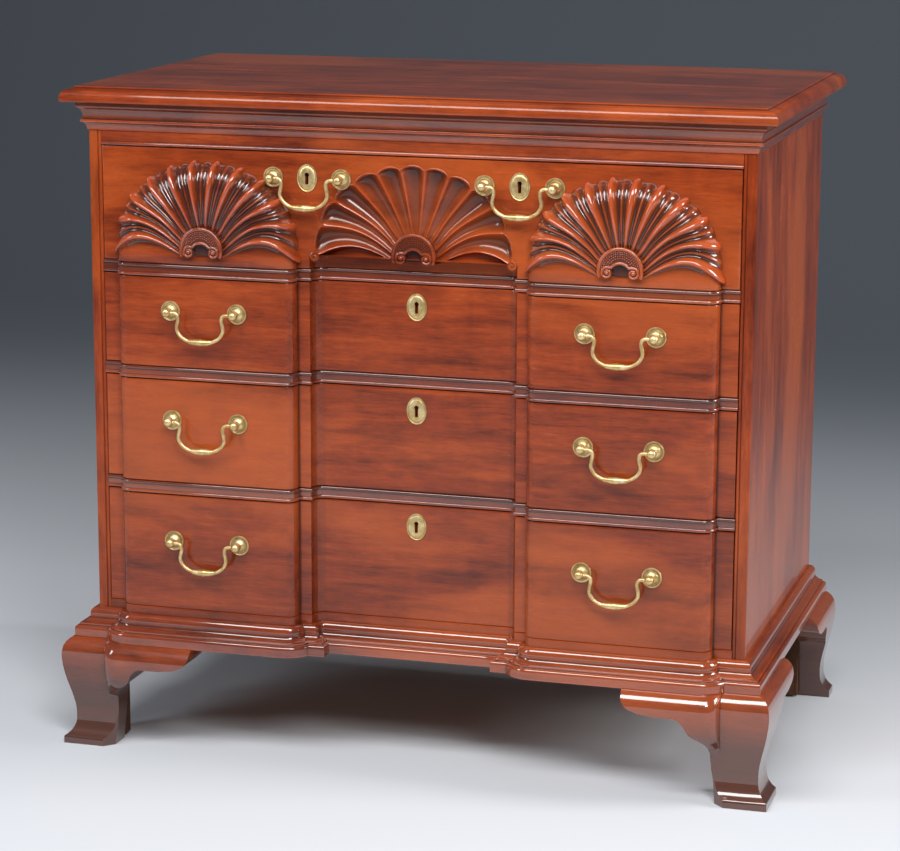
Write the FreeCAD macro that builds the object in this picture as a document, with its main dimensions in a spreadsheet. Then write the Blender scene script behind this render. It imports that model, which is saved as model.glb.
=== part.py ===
import FreeCAD, Part

import math
import os

import Sketcher
from FreeCAD import Placement, Rotation, Vector

# Block-and-shell chest of four drawers.  Millimetres, X to the right, Y to the back, Z up.
# The origin is at the middle of the box round the whole chest, on the floor.

# Driving sizes.  Plan sizes of the front are measured from the plane of the case's front edges:
# "rise" and "reach" are towards the viewer, "depth" is into the case.
SIZES = {
    # case
    "case_width": 876,
    "case_depth": 490,
    "overall_height": 880,
    "side_thick": 17,
    "back_thick": 13,
    "board_gap": 0.5,
    "bottom_thick": 18,
    "rail_thick": 16,
    "rail_depth": 76,
    "top_rail_depth": 38,
    "rear_rail_thick": 22,
    "runner_wide": 30,
    "kicker_high": 20,
    "stop_long": 40,
    "stop_thick": 8,
    "stop_deep": 14,
    "stop_inset": 60,
    "stop_gap": 0.4,
    # drawer openings, top to bottom
    "opening_1": 149.5,
    "opening_2": 119,
    "opening_3": 137.5,
    "opening_4": 155,
    # blocking of the front, in plan
    "outer_strip": 41,
    "block_wide": 243.5,
    "inner_strip": 16,
    "block_rise": 20,
    "block_round": 15,
    "recess_depth": 20,
    "recess_round": 15,
    "bead_reach": 2.5,
    "bead_thick": 4.5,
    # top board
    "top_thick": 20,
    "top_reach": 29,
    "top_arris": 13.5,
    "top_fillet": 2.5,
    "top_nose": 14,
    "top_ovolo": 19.6,
    "top_back_reach": 16,
    # cove moulding under the top
    "cove_high": 37,
    "cove_reach": 13,
    "cove_band": 7,
    "cove_neck": 5.5,
    "cove_neck_drop": 21,
    "cove_bead_drop": 24,
    "cove_bead_reach": 8.3,
    "cove_bead_thick": 3,
    "cove_foot_reach": 1.5,
    # base moulding
    "foot_high": 147,
    "base_high": 37,
    "base_ledge": 2,
    "base_ovolo_reach": 9.5,
    "base_ovolo_drop": 9.5,
    "base_cove_reach": 20.5,
    "base_step": 2,
    "base_reach": 25.5,
    "base_fascia": 10,
    "bottom_rail_show": 11,
    "bottom_rail_depth": 60,
    # bracket feet
    "bracket_long": 148,
    "bracket_inner": 5,
    "foot_top_reach": 26.5,
    "foot_bulge_reach": 39.5,
    "foot_bulge_high": 120,
    "foot_turn_reach": 33,
    "foot_turn_high": 81,
    "foot_ankle_reach": 25.5,
    "foot_ankle_high": 42,
    "foot_toe_start": 30,
    "foot_toe_reach": 39,
    "foot_toe_high": 9.5,
    "foot_pad_line": 23,
    "foot_block_low": 70,
    "wing_drop": 30,
    "wing_round": 22,
    "wing_bow": 29.5,
    "arch_start": 76,
    "arch_bow": 22.5,
    "cusp_in": 61,
    "cusp_high": 95,
    "cusp_step": 5,
    "ankle_in": 36,
    "ankle_arch_high": 70,
    "toe_in": 30,
    "cant_in": 17,
    "rear_bracket_thick": 20,
    "glue_block": 24,
    "glue_strip": 20,
    "glue_strip_long": 70,
    "floor_gap": 3,
    # drawers
    "front_back": 38,
    "front_side_gap": 1,
    "front_top_gap": 1.2,
    "drawer_run_gap": 0.4,
    "box_side_thick": 12,
    "box_side_gap": 1.5,
    "box_back_thick": 11,
    "box_top_drop": 6,
    "box_bottom_thick": 7,
    "box_bottom_rise": 9,
    "box_rear_room": 20,
    "block_foot_high": 10,
    # shells
    "shell_rise": 14,
    "shell_hub_radius": 30,
    "shell_hub_rise": 16,
    "shell_rib_radius": 13.5,
    "shell_rib_root": 3,
    "shell_top_margin": 13,
    "shell_ribs": 12,
    "shell_hollow": 12,
    # handles
    "post_spacing": 91,
    "top_handle_gap": 1,
    "handle_above_mid": 15,
    "top_handle_drop": 33,
    "rosette_radius": 13.2,
    "rosette_thick": 2.5,
    "dome_high": 6,
    "neck_radius": 4,
    "knuckle_radius": 7,
    "pivot_reach": 15,
    "shank_radius": 2.2,
    "shank_gap": 0.1,
    "shank_end": 2,
    "nut_wide": 9,
    "nut_thick": 4,
    "bail_radius": 2.2,
    "bail_mid_radius": 4.2,
    "bail_drop": 37,
    "bail_neck_half": 31,
    "bail_bend_radius": 5,
    "bail_corner_radius": 13,
    "pin_gap": 0.06,
    "pin_long": 8,
    # escutcheons and locks
    "escutcheon_wide": 27,
    "escutcheon_high": 36,
    "escutcheon_thick": 1.5,
    "escutcheon_drop": 30,
    "keyhole_radius": 2.6,
    "keyhole_slot": 2.4,
    "keyhole_drop": 11,
    "lock_wide": 76,
    "lock_high": 50,
    "lock_thick": 11,
    "bolt_wide": 22,
    "bolt_thick": 4,
    "bolt_high": 26,
    "bolt_gap": 0.4,
    "bolt_travel": 8,
}

SHEET = "Sizes"
DRAWERS = (1, 2, 3, 4)
SIDES = {"left": -1, "right": 1}
OVERLAP = 1.0  # how far a cutting shape runs past the face it cuts
BACK_BOARDS = 3
BALL_FOOT = (0.6, 0.8)  # where a knuckle's ball meets its neck, as shares of the ball's radius


class Size:
    """A length with its value and the spreadsheet formula that gives it."""

    def __init__(self, value, text):
        self.value = float(value)
        self.text = text

    def __add__(self, other):
        other = as_size(other)
        return Size(self.value + other.value, f"({self.text} + {other.text})")

    def __sub__(self, other):
        other = as_size(other)
        return Size(self.value - other.value, f"({self.text} - {other.text})")

    def __mul__(self, other):
        other = as_size(other)
        return Size(self.value * other.value, f"({self.text} * {other.text})")

    def __truediv__(self, other):
        other = as_size(other)
        return Size(self.value / other.value, f"({self.text} / {other.text})")

    def __neg__(self):
        return self * -1

    def __radd__(self, other):
        return as_size(other) + self

    def __rsub__(self, other):
        return as_size(other) - self

    def __rmul__(self, other):
        return as_size(other) * self


def as_size(value):
    """A plain number as a Size."""
    if isinstance(value, Size):
        return value
    text = repr(float(value))
    return Size(value, text if value >= 0 else f"({text})")


class Sheet:
    """Reads the spreadsheet: sheet.case_width is the Size of the cell with that alias."""

    def __init__(self, doc):
        self.cells = doc.addObject("Spreadsheet::Sheet", SHEET)
        for row, (name, value) in enumerate(SIZES.items(), 1):
            self.cells.set(f"A{row}", name)
            self.cells.set(f"B{row}", str(value))
            self.cells.setAlias(f"B{row}", name)
        doc.recompute()

    def __getattr__(self, name):
        return Size(getattr(self.cells, name), f"{SHEET}.{name}")


doc = FreeCAD.newDocument("block_front_chest")
s = Sheet(doc)
nodes = {}


def node(label, shape_object):
    """Names a finished sub-part, whose shape goes into its own file."""
    shape_object.Label = label
    nodes[label] = shape_object
    return shape_object


def bind(item, **sizes):
    """Ties an object's properties to the spreadsheet."""
    for name, size in sizes.items():
        item.setExpression(name, as_size(size).text)
    return item


def place(item, x=0, y=0, z=0, rotation=None):
    """Ties an object's place to the spreadsheet."""
    if rotation is not None:
        item.Placement = Placement(Vector(), rotation)
    for axis, size in zip("xyz", (x, y, z)):
        item.setExpression(f"Placement.Base.{axis}", as_size(size).text)
    return item


def box(x, y, z):
    """A box from pairs of lowest and highest coordinates."""
    item = doc.addObject("Part::Box", "Board")
    bind(item, Length=x[1] - x[0], Width=y[1] - y[0], Height=z[1] - z[0])
    return place(item, x[0], y[0], z[0])


TURNED = {"x": Rotation(Vector(0, 1, 0), 90), "y": Rotation(Vector(1, 0, 0), -90), "z": Rotation()}


def cylinder(radius, length, start, axis):
    """A round bar from its start point along an axis."""
    item = doc.addObject("Part::Cylinder", "Bar")
    bind(item, Radius=radius, Height=length)
    return place(item, *start, rotation=TURNED[axis])


def cut(base, *tools):
    """The base with the tools taken away."""
    item = doc.addObject("Part::Cut", "Cut")
    item.Base = base
    item.Tool = tools[0] if len(tools) == 1 else group(*tools)
    return item


def common(*items):
    """What all the items share."""
    item = doc.addObject("Part::MultiCommon", "Common")
    item.Shapes = list(items)
    return item


def fuse(*items):
    """The items joined into one solid."""
    item = doc.addObject("Part::MultiFuse", "Fusion")
    item.Shapes = list(items)
    item.Refine = True
    return item


def mirrored(item):
    """The item's twin on the other side of the chest's middle."""
    twin = doc.addObject("Part::Mirroring", "Twin")
    twin.Source = item
    twin.Normal = Vector(1, 0, 0)
    return twin


def group(*items):
    """Separate solids kept together."""
    item = doc.addObject("Part::Compound", "Group")
    item.Links = list(items)
    return item


def span(one, other):
    """Two coordinates, the lower one first."""
    return (one, other) if one.value < other.value else (other, one)


def root(square):
    """The square root of a size."""
    return Size(math.sqrt(square.value), f"sqrt({square.text})")


def bow(across, along):
    """The radius of an arc that leaves one end square to a crossing distance."""
    return (across * across + along * along) / (across * 2)


def outline(sketch, start, steps):
    """Draws a closed outline with every corner and radius tied to the spreadsheet.

    A step is (x, y) for a line or (x, y, radius, turn) for an arc, where turn is 1 for an arc
    that turns left and -1 for one that turns right.  The last step comes back to the start.
    """
    corners = [tuple(map(as_size, start))]
    ends = []
    for step in steps:
        before = Vector(corners[-1][0].value, corners[-1][1].value)
        corners.append((as_size(step[0]), as_size(step[1])))
        after = Vector(corners[-1][0].value, corners[-1][1].value)
        if len(step) == 2:
            index = sketch.addGeometry(Part.LineSegment(before, after))
            ends.append((index, 1, 2))
            continue
        radius, turn = as_size(step[2]), step[3]
        chord = after - before
        rise = math.sqrt(max(radius.value**2 - chord.Length**2 / 4, 0))
        centre = (before + after) * 0.5 + Vector(-chord.y, chord.x) * (turn * rise / chord.Length)
        first, last = (before, after) if turn > 0 else (after, before)
        angles = [math.atan2(point.y - centre.y, point.x - centre.x) for point in (first, last)]
        circle = Part.Circle(centre, Vector(0, 0, 1), radius.value)
        index = sketch.addGeometry(Part.ArcOfCircle(circle, *angles))
        ends.append((index, 1, 2) if turn > 0 else (index, 2, 1))
        number = sketch.addConstraint(Sketcher.Constraint("Radius", index, radius.value))
        sketch.setExpression(f"Constraints[{number}]", radius.text)
    for (index, _, leave), (following, enter, _) in zip(ends, ends[1:] + ends[:1]):
        sketch.addConstraint(Sketcher.Constraint("Coincident", index, leave, following, enter))
    for (index, enter, _), (x, y) in zip(ends, corners):
        for kind, size in (("DistanceX", x), ("DistanceY", y)):
            number = sketch.addConstraint(Sketcher.Constraint(kind, -1, 1, index, enter, size.value))
            sketch.setExpression(f"Constraints[{number}]", size.text)


def new_sketch(body, plane):
    """A sketch on one of the body's own origin planes."""
    sketch = body.newObject("Sketcher::SketchObject", "Outline")
    support = next(item for item in body.Origin.OriginFeatures if item.Role == plane)
    sketch.AttachmentSupport = (support, [""])
    sketch.MapMode = "FlatFace"
    return sketch


def prism(plane, start, steps, length, at=(0, 0, 0), rotation=None, both_ways=False):
    """A body padded from one outline.

    The pad runs up from the XY plane, to the front from XZ and to the right from YZ, or to
    both sides of its plane.
    """
    body = doc.addObject("PartDesign::Body", "Prism")
    sketch = new_sketch(body, plane)
    outline(sketch, start, steps)
    pad = body.newObject("PartDesign::Pad", "Pad")
    pad.Profile = sketch
    if both_ways:
        pad.SideType = "Symmetric"
    bind(pad, Length=length)
    return place(body, *at, rotation=rotation)


def turned(start, steps, at, axis="V_Axis", rotation=None):
    """A body revolved from one outline about its sketch's upright or level axis."""
    body = doc.addObject("PartDesign::Body", "Turning")
    sketch = new_sketch(body, "XZ_Plane")
    outline(sketch, start, steps)
    revolution = body.newObject("PartDesign::Revolution", "Revolution")
    revolution.Profile = sketch
    revolution.ReferenceAxis = (sketch, [axis])
    revolution.Angle = 360
    return place(body, *at, rotation=rotation)


# Levels and lines that the pieces share

FRONT = (s.foot_bulge_reach + s.block_rise - s.case_depth - s.top_back_reach) / 2
BACK = FRONT + s.case_depth
HALF = s.case_width / 2
OPENING_HALF = HALF - s.side_thick
BLOCK_OUTER = HALF - s.outer_strip
BLOCK_INNER = BLOCK_OUTER - s.block_wide
RECESS_EDGE = BLOCK_INNER - s.inner_strip
BLOCK_MID = (BLOCK_OUTER + BLOCK_INNER) / 2
TOP_UNDER = s.overall_height - s.top_thick
BASE_TOP = s.foot_high + s.base_high
BACK_FACE = BACK - s.back_thick
RAIL_BACK = FRONT + s.rail_depth


def opening_floors():
    """The level that each drawer runs on, by drawer number."""
    floors = {4: BASE_TOP + s.bottom_rail_show}
    for number in (3, 2, 1):
        below = number + 1
        floors[number] = floors[below] + opening(below) + s.rail_thick
    return floors


def opening(number):
    """The height of one drawer opening."""
    return getattr(s, f"opening_{number}")


FLOOR = opening_floors()
TOP_RAIL_LOW = FLOOR[1] + opening(1)


def blocked_line(out, half):
    """The blocked front from left to right, moved out by a reach, as outline steps."""
    strip = FRONT - out
    block = FRONT - s.block_rise - out
    recess = FRONT + s.recess_depth - out
    outer = BLOCK_OUTER + out
    inner = BLOCK_INNER - out
    edge = RECESS_EDGE - out
    round_out = s.block_round + out
    round_in = s.recess_round - out
    left = [
        (-outer, strip),
        (-outer, block + round_out),
        (-outer + round_out, block, round_out, 1),
        (-inner - round_out, block),
        (-inner, block + round_out, round_out, 1),
        (-inner, strip),
        (-edge, strip),
        (-edge, recess - round_in),
        (-edge + round_in, recess, round_in, -1),
    ]
    right = [
        (edge - round_in, recess),
        (edge, recess - round_in, round_in, -1),
        (edge, strip),
        (inner, strip),
        (inner, block + round_out),
        (inner + round_out, block, round_out, 1),
        (outer - round_out, block),
        (outer, block + round_out, round_out, 1),
        (outer, strip),
        (half, strip),
    ]
    return left + right


def blocked_prism(out, half, back, low, high):
    """A board whose front edge follows the blocking."""
    start = (-half, FRONT - out)
    closing = [(half, back), (-half, back), start]
    return prism("XY_Plane", start, blocked_line(out, half) + closing, high - low, at=(0, 0, low))


# Case


def moulded_section(points, back):
    """A section in Y and Z: the moulded face towards the viewer and a flat back."""
    start, steps = points[0], points[1:]
    return start, steps + [(back, points[-1][1]), (back, start[1]), start]


def top_profile():
    """The edge of the top board: reach from the case's front plane and level, from below."""
    high = s.overall_height
    nose = high - s.top_nose
    return [
        (s.top_reach - s.top_fillet, TOP_UNDER),
        (s.top_reach, TOP_UNDER + s.top_fillet, s.top_fillet, 1),
        (s.top_reach, nose),
        (s.top_arris + s.top_fillet / 2, high - s.top_fillet, s.top_ovolo, 1),
        (s.top_arris, high - s.top_fillet),
        (s.top_arris, high),
    ]


def cove_profile():
    """The cove moulding: reach and level, from below."""
    bead = TOP_UNDER - s.cove_bead_drop
    bead_low = bead - s.cove_bead_thick
    neck = TOP_UNDER - s.cove_neck_drop
    band = TOP_UNDER - s.cove_band
    low = TOP_UNDER - s.cove_high
    foot_bow = bow(s.cove_bead_reach - s.cove_foot_reach, bead_low - low)
    return [
        (s.cove_foot_reach, low),
        (s.cove_bead_reach, bead_low, foot_bow, -1),
        (s.cove_bead_reach, bead),
        (s.cove_neck, bead),
        (s.cove_neck, neck),
        (s.cove_reach, band, s.cove_neck_drop - s.cove_band, -1),
        (s.cove_reach, TOP_UNDER),
    ]


def base_profile():
    """The base moulding: reach and level, from below."""
    nose = s.base_reach - s.base_cove_reach
    nose_top = s.foot_high + s.base_fascia + nose
    cove_low = nose_top + s.base_step
    cove_high = BASE_TOP - s.base_ovolo_drop
    cove_bow = bow(s.base_cove_reach - s.base_ovolo_reach, cove_high - cove_low)
    ovolo_bow = bow(s.base_ovolo_reach - s.base_ledge, s.base_ovolo_drop)
    return [
        (s.base_reach, s.foot_high),
        (s.base_reach, s.foot_high + s.base_fascia),
        (s.base_cove_reach, nose_top, nose, 1),
        (s.base_cove_reach, cove_low),
        (s.base_ovolo_reach, cove_high, cove_bow, -1),
        (s.base_ledge, BASE_TOP, ovolo_bow, 1),
    ]


def front_stick(profile, line, back, left, right):
    """A straight moulding along X, whose face stands out from the plane Y = line."""
    points = [(line - point[0],) + point[1:3] + tuple(-turn for turn in point[3:]) for point in profile]
    start, steps = moulded_section(points, back)
    return prism("YZ_Plane", start, steps, right - left, at=(left, 0, 0))


def side_stick(profile, sign, line, inner, front, back):
    """A straight moulding along Y, whose face stands out sideways from the plane X = line."""
    points = [(sign * (line + point[0]), point[1]) + arc(point, sign) for point in profile]
    start, steps = moulded_section(points, sign * inner)
    return prism("XZ_Plane", start, steps, back - front, at=(0, back, 0))


def arc(point, sign):
    """The radius and turn of a profile step, mirrored for a left or a right side."""
    return tuple() if len(point) == 2 else (point[2], point[3] * sign)


def mitred_front(item, reach, low, high):
    """The front length of a moulding, cut at 45 degrees through both front corners."""
    start = (-HALF - reach, FRONT - reach)
    far = HALF - RAIL_BACK + FRONT
    steps = [(HALF + reach, FRONT - reach), (far, RAIL_BACK), (-far, RAIL_BACK), start]
    return common(item, prism("XY_Plane", start, steps, high - low, at=(0, 0, low)))


def mitred_side(item, sign, reach, low, high):
    """A side length of a moulding, cut at 45 degrees through its front corner."""
    far = HALF - s.rail_depth
    start = (sign * (HALF + reach), FRONT - reach)
    steps = [(sign * far, RAIL_BACK), (sign * far, BACK), (sign * (HALF + reach), BACK), start]
    return common(item, prism("XY_Plane", start, steps, high - low, at=(0, 0, low)))


def make_top():
    """Top board: moulded front and sides, square back, where three wide mouldings cross."""
    back = BACK + s.top_back_reach
    wide = HALF + s.top_reach
    lengths = [front_stick(top_profile(), FRONT, back, -wide, wide)]
    for sign in SIDES.values():
        lengths.append(side_stick(top_profile(), sign, HALF, -wide, FRONT - s.top_reach, back))
    node("top_board", common(*lengths))


def make_cove():
    """Cove moulding under the top, in three mitred lengths."""
    low = TOP_UNDER - s.cove_high
    wide = HALF + s.cove_reach
    front = front_stick(cove_profile(), FRONT, FRONT, -wide, wide)
    pieces = [mitred_front(front, s.cove_reach, low, TOP_UNDER)]
    for sign in SIDES.values():
        side = side_stick(cove_profile(), sign, HALF, HALF, FRONT - s.cove_reach, BACK)
        pieces.append(mitred_side(side, sign, s.cove_reach, low, TOP_UNDER))
    node("cove_moulding", group(*pieces))


def strip_tower(back):
    """Base moulding along the right corner's strip and the strip beside the recess."""
    far = HALF + s.base_reach
    near = RECESS_EDGE - s.base_reach
    face = front_stick(base_profile(), FRONT, back, near, far)
    flank = side_stick(base_profile(), -1, -RECESS_EDGE, -far, FRONT - s.base_reach, back)
    return common(face, flank)


def corner_stick(x, y, turn):
    """Base moulding that runs at 45 degrees across a block's corner, round a centre."""
    far = s.block_wide + s.bottom_rail_depth
    profile = [(-(s.block_round + point[0]), point[1]) + arc(point, -1) for point in base_profile()]
    start, steps = moulded_section(profile, far)
    rotation = Rotation(Vector(0, 0, 1), turn)
    return prism("YZ_Plane", start, steps, far * 2, at=(x, y, 0), rotation=rotation, both_ways=True)


def block_tower(back):
    """Base moulding round the right block: its front, its flanks and across its corners."""
    line = FRONT - s.block_rise
    centre = line + s.block_round
    out = s.base_reach
    left, right = BLOCK_INNER - out, BLOCK_OUTER + out
    face = front_stick(base_profile(), line, back, left, right)
    outside = side_stick(base_profile(), 1, BLOCK_OUTER, left, line - out, back)
    inside = side_stick(base_profile(), -1, -BLOCK_INNER, -right, line - out, back)
    corners = [
        corner_stick(BLOCK_OUTER - s.block_round, centre, 45),
        corner_stick(BLOCK_INNER + s.block_round, centre, -45),
    ]
    return common(face, outside, inside, *corners)


def make_base():
    """Base moulding: a blocked front length and two side lengths, mitred at the corners."""
    back = FRONT + s.bottom_rail_depth - OVERLAP
    half = fuse(block_tower(back), strip_tower(back))
    recess = FRONT + s.recess_depth
    middle = front_stick(base_profile(), recess, back, -RECESS_EDGE, RECESS_EDGE)
    low, high = s.foot_high - OVERLAP, BASE_TOP + OVERLAP
    rail = blocked_prism(as_size(0), HALF + s.base_reach, back + OVERLAP, low, high)
    blank = cut(fuse(half, mirrored(half), middle), rail)
    pieces = [mitred_front(blank, s.base_reach + s.block_rise, s.foot_high, BASE_TOP)]
    for sign in SIDES.values():
        side = side_stick(base_profile(), sign, HALF, HALF, FRONT - s.base_reach, BACK)
        pieces.append(mitred_side(side, sign, s.base_reach, s.foot_high, BASE_TOP))
    node("base_moulding", group(*pieces))


def make_sides():
    """Case sides, the full height from the feet to the top."""
    for name, sign in SIDES.items():
        x = span(sign * OPENING_HALF, sign * HALF)
        node(f"case_side_{name}", box(x, (FRONT, BACK), (s.foot_high, TOP_UNDER)))


def bolt_mortise(x, y, level):
    """The slot in a rail that a lock bolt slides up into."""
    half = s.bolt_wide / 2 + s.bolt_gap
    deep = s.bolt_travel + s.bolt_gap
    thick = (y - s.bolt_gap, y + s.bolt_thick + s.bolt_gap)
    return box((x - half, x + half), thick, (level, level + deep))


def make_rails():
    """Top rails, three beaded dividers that follow the blocking, and the bottom rail."""
    width = (-OPENING_HALF, OPENING_HALF)
    rail = box(width, (FRONT, FRONT + s.top_rail_depth), (TOP_RAIL_LOW, TOP_UNDER))
    bead = (TOP_RAIL_LOW, TOP_RAIL_LOW + s.bead_thick)
    strip = box(width, (FRONT - s.bead_reach, FRONT), bead)
    slots = [bolt_mortise(x, BOLT_Y, TOP_RAIL_LOW) for x in lock_places(1)]
    node("top_rail", cut(fuse(rail, strip), *slots))
    back = (BACK_FACE - s.rear_rail_thick, BACK_FACE)
    node("rear_top_rail", box(width, back, (TOP_UNDER - s.kicker_high, TOP_UNDER)))
    for number in (1, 2, 3):
        low = FLOOR[number] - s.rail_thick
        core = blocked_prism(as_size(0), OPENING_HALF, RAIL_BACK, low, FLOOR[number])
        beads = []
        for level in (low, FLOOR[number] - s.bead_thick):
            high = level + s.bead_thick
            beads.append(blocked_prism(s.bead_reach, OPENING_HALF, RAIL_BACK, level, high))
        slots = [bolt_mortise(x, BOLT_Y, low) for x in lock_places(number + 1)]
        node(f"drawer_divider_{number}", cut(fuse(core, *beads), *slots))
    rail_back = FRONT + s.bottom_rail_depth
    node("bottom_rail", blocked_prism(as_size(0), OPENING_HALF, rail_back, s.foot_high, FLOOR[4]))


def make_runners():
    """A runner along each side under each drawer, kickers over the top drawer, and stops."""
    runners = []
    kickers = []
    stops = []
    for sign in SIDES.values():
        edge = sign * OPENING_HALF
        x = span(edge, edge - sign * s.runner_wide)
        for number in DRAWERS:
            front = RAIL_BACK if number < 4 else FRONT + s.bottom_rail_depth
            level = (FLOOR[number] - s.rail_thick, FLOOR[number])
            runners.append(box(x, (front, BACK_FACE), level))
            near = sign * (OPENING_HALF - s.stop_inset)
            stop_x = span(near, near - sign * s.stop_long)
            face = FRONT + s.front_back + s.stop_gap
            stop_z = (FLOOR[number], FLOOR[number] + s.stop_thick)
            stops.append(box(stop_x, (face, face + s.stop_deep), stop_z))
        rail_back = FRONT + s.top_rail_depth
        level = (TOP_RAIL_LOW, TOP_RAIL_LOW + s.kicker_high)
        kickers.append(box(x, (rail_back, BACK_FACE), level))
    node("drawer_runners", group(*runners))
    node("drawer_kickers", group(*kickers))
    node("drawer_stops", group(*stops))


def make_bottom_and_back():
    """Case bottom behind the bottom rail, and three boards across the back."""
    x = (-OPENING_HALF, OPENING_HALF)
    front = FRONT + s.bottom_rail_depth
    node("case_bottom", box(x, (front, BACK_FACE), (s.foot_high, s.foot_high + s.bottom_thick)))
    high = (TOP_UNDER - s.foot_high - s.board_gap * (BACK_BOARDS - 1)) / BACK_BOARDS
    boards = []
    for place_up in range(BACK_BOARDS):
        low = s.foot_high + (high + s.board_gap) * place_up
        boards.append(box(x, (BACK_FACE, BACK), (low, low + high)))
    node("back_boards", group(*boards))


# Feet.  A bracket is drawn by its distance in from the case's corner and its level.


def bracket_outline():
    """The sawn shape of a bracket, from its outer top corner down the inside of the wing."""
    wing_low = s.foot_high - s.wing_drop
    return [
        (s.bracket_long, s.foot_high),
        (s.bracket_long - s.wing_round, wing_low, s.wing_bow, -1),
        (s.arch_start, wing_low),
        (s.cusp_in, s.cusp_high, s.arch_bow, 1),
        (s.cusp_in - s.cusp_step, s.cusp_high - s.cusp_step),
        (s.ankle_in, s.ankle_arch_high, s.cusp_in - s.ankle_in, 1),
        (s.toe_in, as_size(0)),
    ]


def bracket_prism(sign, along_front, length, outer, at):
    """The bracket's sawn shape, padded through its thickness."""
    steps = []
    for point in bracket_outline():
        turn = tuple() if len(point) == 2 else (point[2], point[3] * (sign if along_front else -1))
        steps.append((flat(point[0], sign, along_front), point[1]) + turn)
    start = (flat(-outer, sign, along_front), s.foot_high)
    corner = (flat(-outer, sign, along_front), as_size(0))
    plane = "XZ_Plane" if along_front else "YZ_Plane"
    return prism(plane, start, steps + [corner, start], length, at=at)


def flat(inward, sign, along_front):
    """A distance in from the corner as X on the front or as Y on a side."""
    return sign * (HALF - inward) if along_front else FRONT + inward


def ogee_profile():
    """The face of an ogee foot: reach and level, from the floor up."""
    upper = s.foot_turn_high - s.foot_ankle_high
    lower = s.foot_toe_start - s.foot_toe_high
    return [
        (s.foot_toe_reach, as_size(0)),
        (s.foot_toe_reach, s.foot_toe_high),
        (s.foot_ankle_reach, s.foot_toe_start, bow(s.foot_toe_reach - s.foot_ankle_reach, lower), -1),
        (s.foot_ankle_reach, s.foot_ankle_high),
        (s.foot_turn_reach, s.foot_turn_high, bow(s.foot_turn_reach - s.foot_ankle_reach, upper), -1),
        bulge_arc(s.foot_turn_reach, s.foot_turn_high, as_size(0)),
        shoulder_arc(as_size(0)),
    ]


def bulge_arc(low_reach, low_level, rise):
    """The swelling arc from a low point up to a foot's widest point."""
    high = s.foot_bulge_reach + rise
    return (high, s.foot_bulge_high, bow(high - low_reach, s.foot_bulge_high - low_level), 1)


def shoulder_arc(rise):
    """The arc from a foot's widest point in to its top edge."""
    back_in = s.foot_bulge_reach - s.foot_top_reach
    return (s.foot_top_reach + rise, s.foot_high, bow(back_in, s.foot_high - s.foot_bulge_high), 1)


def block_profile():
    """The face of a foot's block, which fades into the ogee below it."""
    start = (s.foot_ankle_reach, s.foot_block_low)
    return [start, bulge_arc(*start, s.block_rise), shoulder_arc(s.block_rise)]


def corner_wedge(sign, front):
    """Plan of a corner: everything on the front's side of the 45 degree mitre, or the rest."""
    out = s.foot_bulge_reach + s.block_rise + OVERLAP
    deep = s.bracket_long + out
    corner = (sign * (HALF + out), FRONT - out)
    inner = (sign * (HALF - deep), FRONT + deep)
    far = (sign * (HALF - deep), FRONT - out) if front else (sign * (HALF + out), FRONT + deep)
    return prism("XY_Plane", corner, [inner, far, corner], s.foot_high)


def front_bracket(sign):
    """A blocked ogee bracket across the front, mitred at the corner and canted at the ankle."""
    out = s.foot_bulge_reach + s.block_rise + OVERLAP
    inner = FRONT + s.bracket_inner
    sawn = bracket_prism(sign, True, out + s.bracket_inner, out, (0, inner, 0))
    wing_end = sign * (HALF - s.bracket_long - OVERLAP)
    ogee = front_stick(ogee_profile(), FRONT, inner, *span(sign * (HALF + out), wing_end))
    pad_line = sign * (HALF - s.foot_pad_line)
    block = front_stick(block_profile(), FRONT, inner, *span(pad_line, wing_end))
    start = (sign * (HALF - s.cant_in), FRONT - s.foot_toe_reach)
    deep = s.foot_toe_reach + s.bracket_inner
    corner = (sign * (HALF - s.cant_in - deep), FRONT + s.bracket_inner)
    outside = (sign * (HALF - s.cant_in - deep), FRONT - s.foot_toe_reach)
    cant = prism("XY_Plane", start, [corner, outside, start], s.foot_ankle_high)
    return cut(common(sawn, fuse(ogee, block), corner_wedge(sign, True)), cant)


def side_bracket(sign):
    """A plain ogee bracket along the side, mitred at the front corner."""
    out = s.foot_bulge_reach + OVERLAP
    inner = HALF - s.bracket_inner
    left = inner if sign > 0 else -HALF - out
    sawn = bracket_prism(sign, False, out + s.bracket_inner, out, (left, 0, 0))
    back = FRONT + s.bracket_long + OVERLAP
    ogee = side_stick(ogee_profile(), sign, HALF, inner, FRONT - out, back)
    return common(sawn, ogee, corner_wedge(sign, False))


def rear_side_bracket(sign):
    """A rear foot's ogee bracket along the side, square at the back."""
    inner = HALF - s.bracket_inner
    left = inner if sign > 0 else -HALF - s.foot_bulge_reach - OVERLAP
    start = (BACK, s.foot_high)
    steps = []
    for point in bracket_outline():
        steps.append((BACK - point[0], point[1]) + point[2:])
    closing = [(BACK, as_size(0)), start]
    length = s.foot_bulge_reach + s.bracket_inner + OVERLAP
    sawn = prism("YZ_Plane", start, steps + closing, length, at=(left, 0, 0))
    front = BACK - s.bracket_long - OVERLAP
    return common(sawn, side_stick(ogee_profile(), sign, HALF, inner, front, BACK))


def rear_bracket(sign):
    """A plain board behind a rear foot, sloped from the case to the floor."""
    edge = sign * (HALF - s.bracket_inner)
    start = (edge, s.foot_high)
    steps = [
        (sign * (HALF - s.bracket_long), s.foot_high),
        (sign * (HALF - s.bracket_long), s.foot_high - s.wing_drop),
        (sign * (HALF - s.arch_start), s.ankle_arch_high),
        (sign * (HALF - s.arch_start), as_size(0)),
        (edge, as_size(0)),
        start,
    ]
    return prism("XZ_Plane", start, steps, s.rear_bracket_thick, at=(0, BACK, 0))


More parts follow.
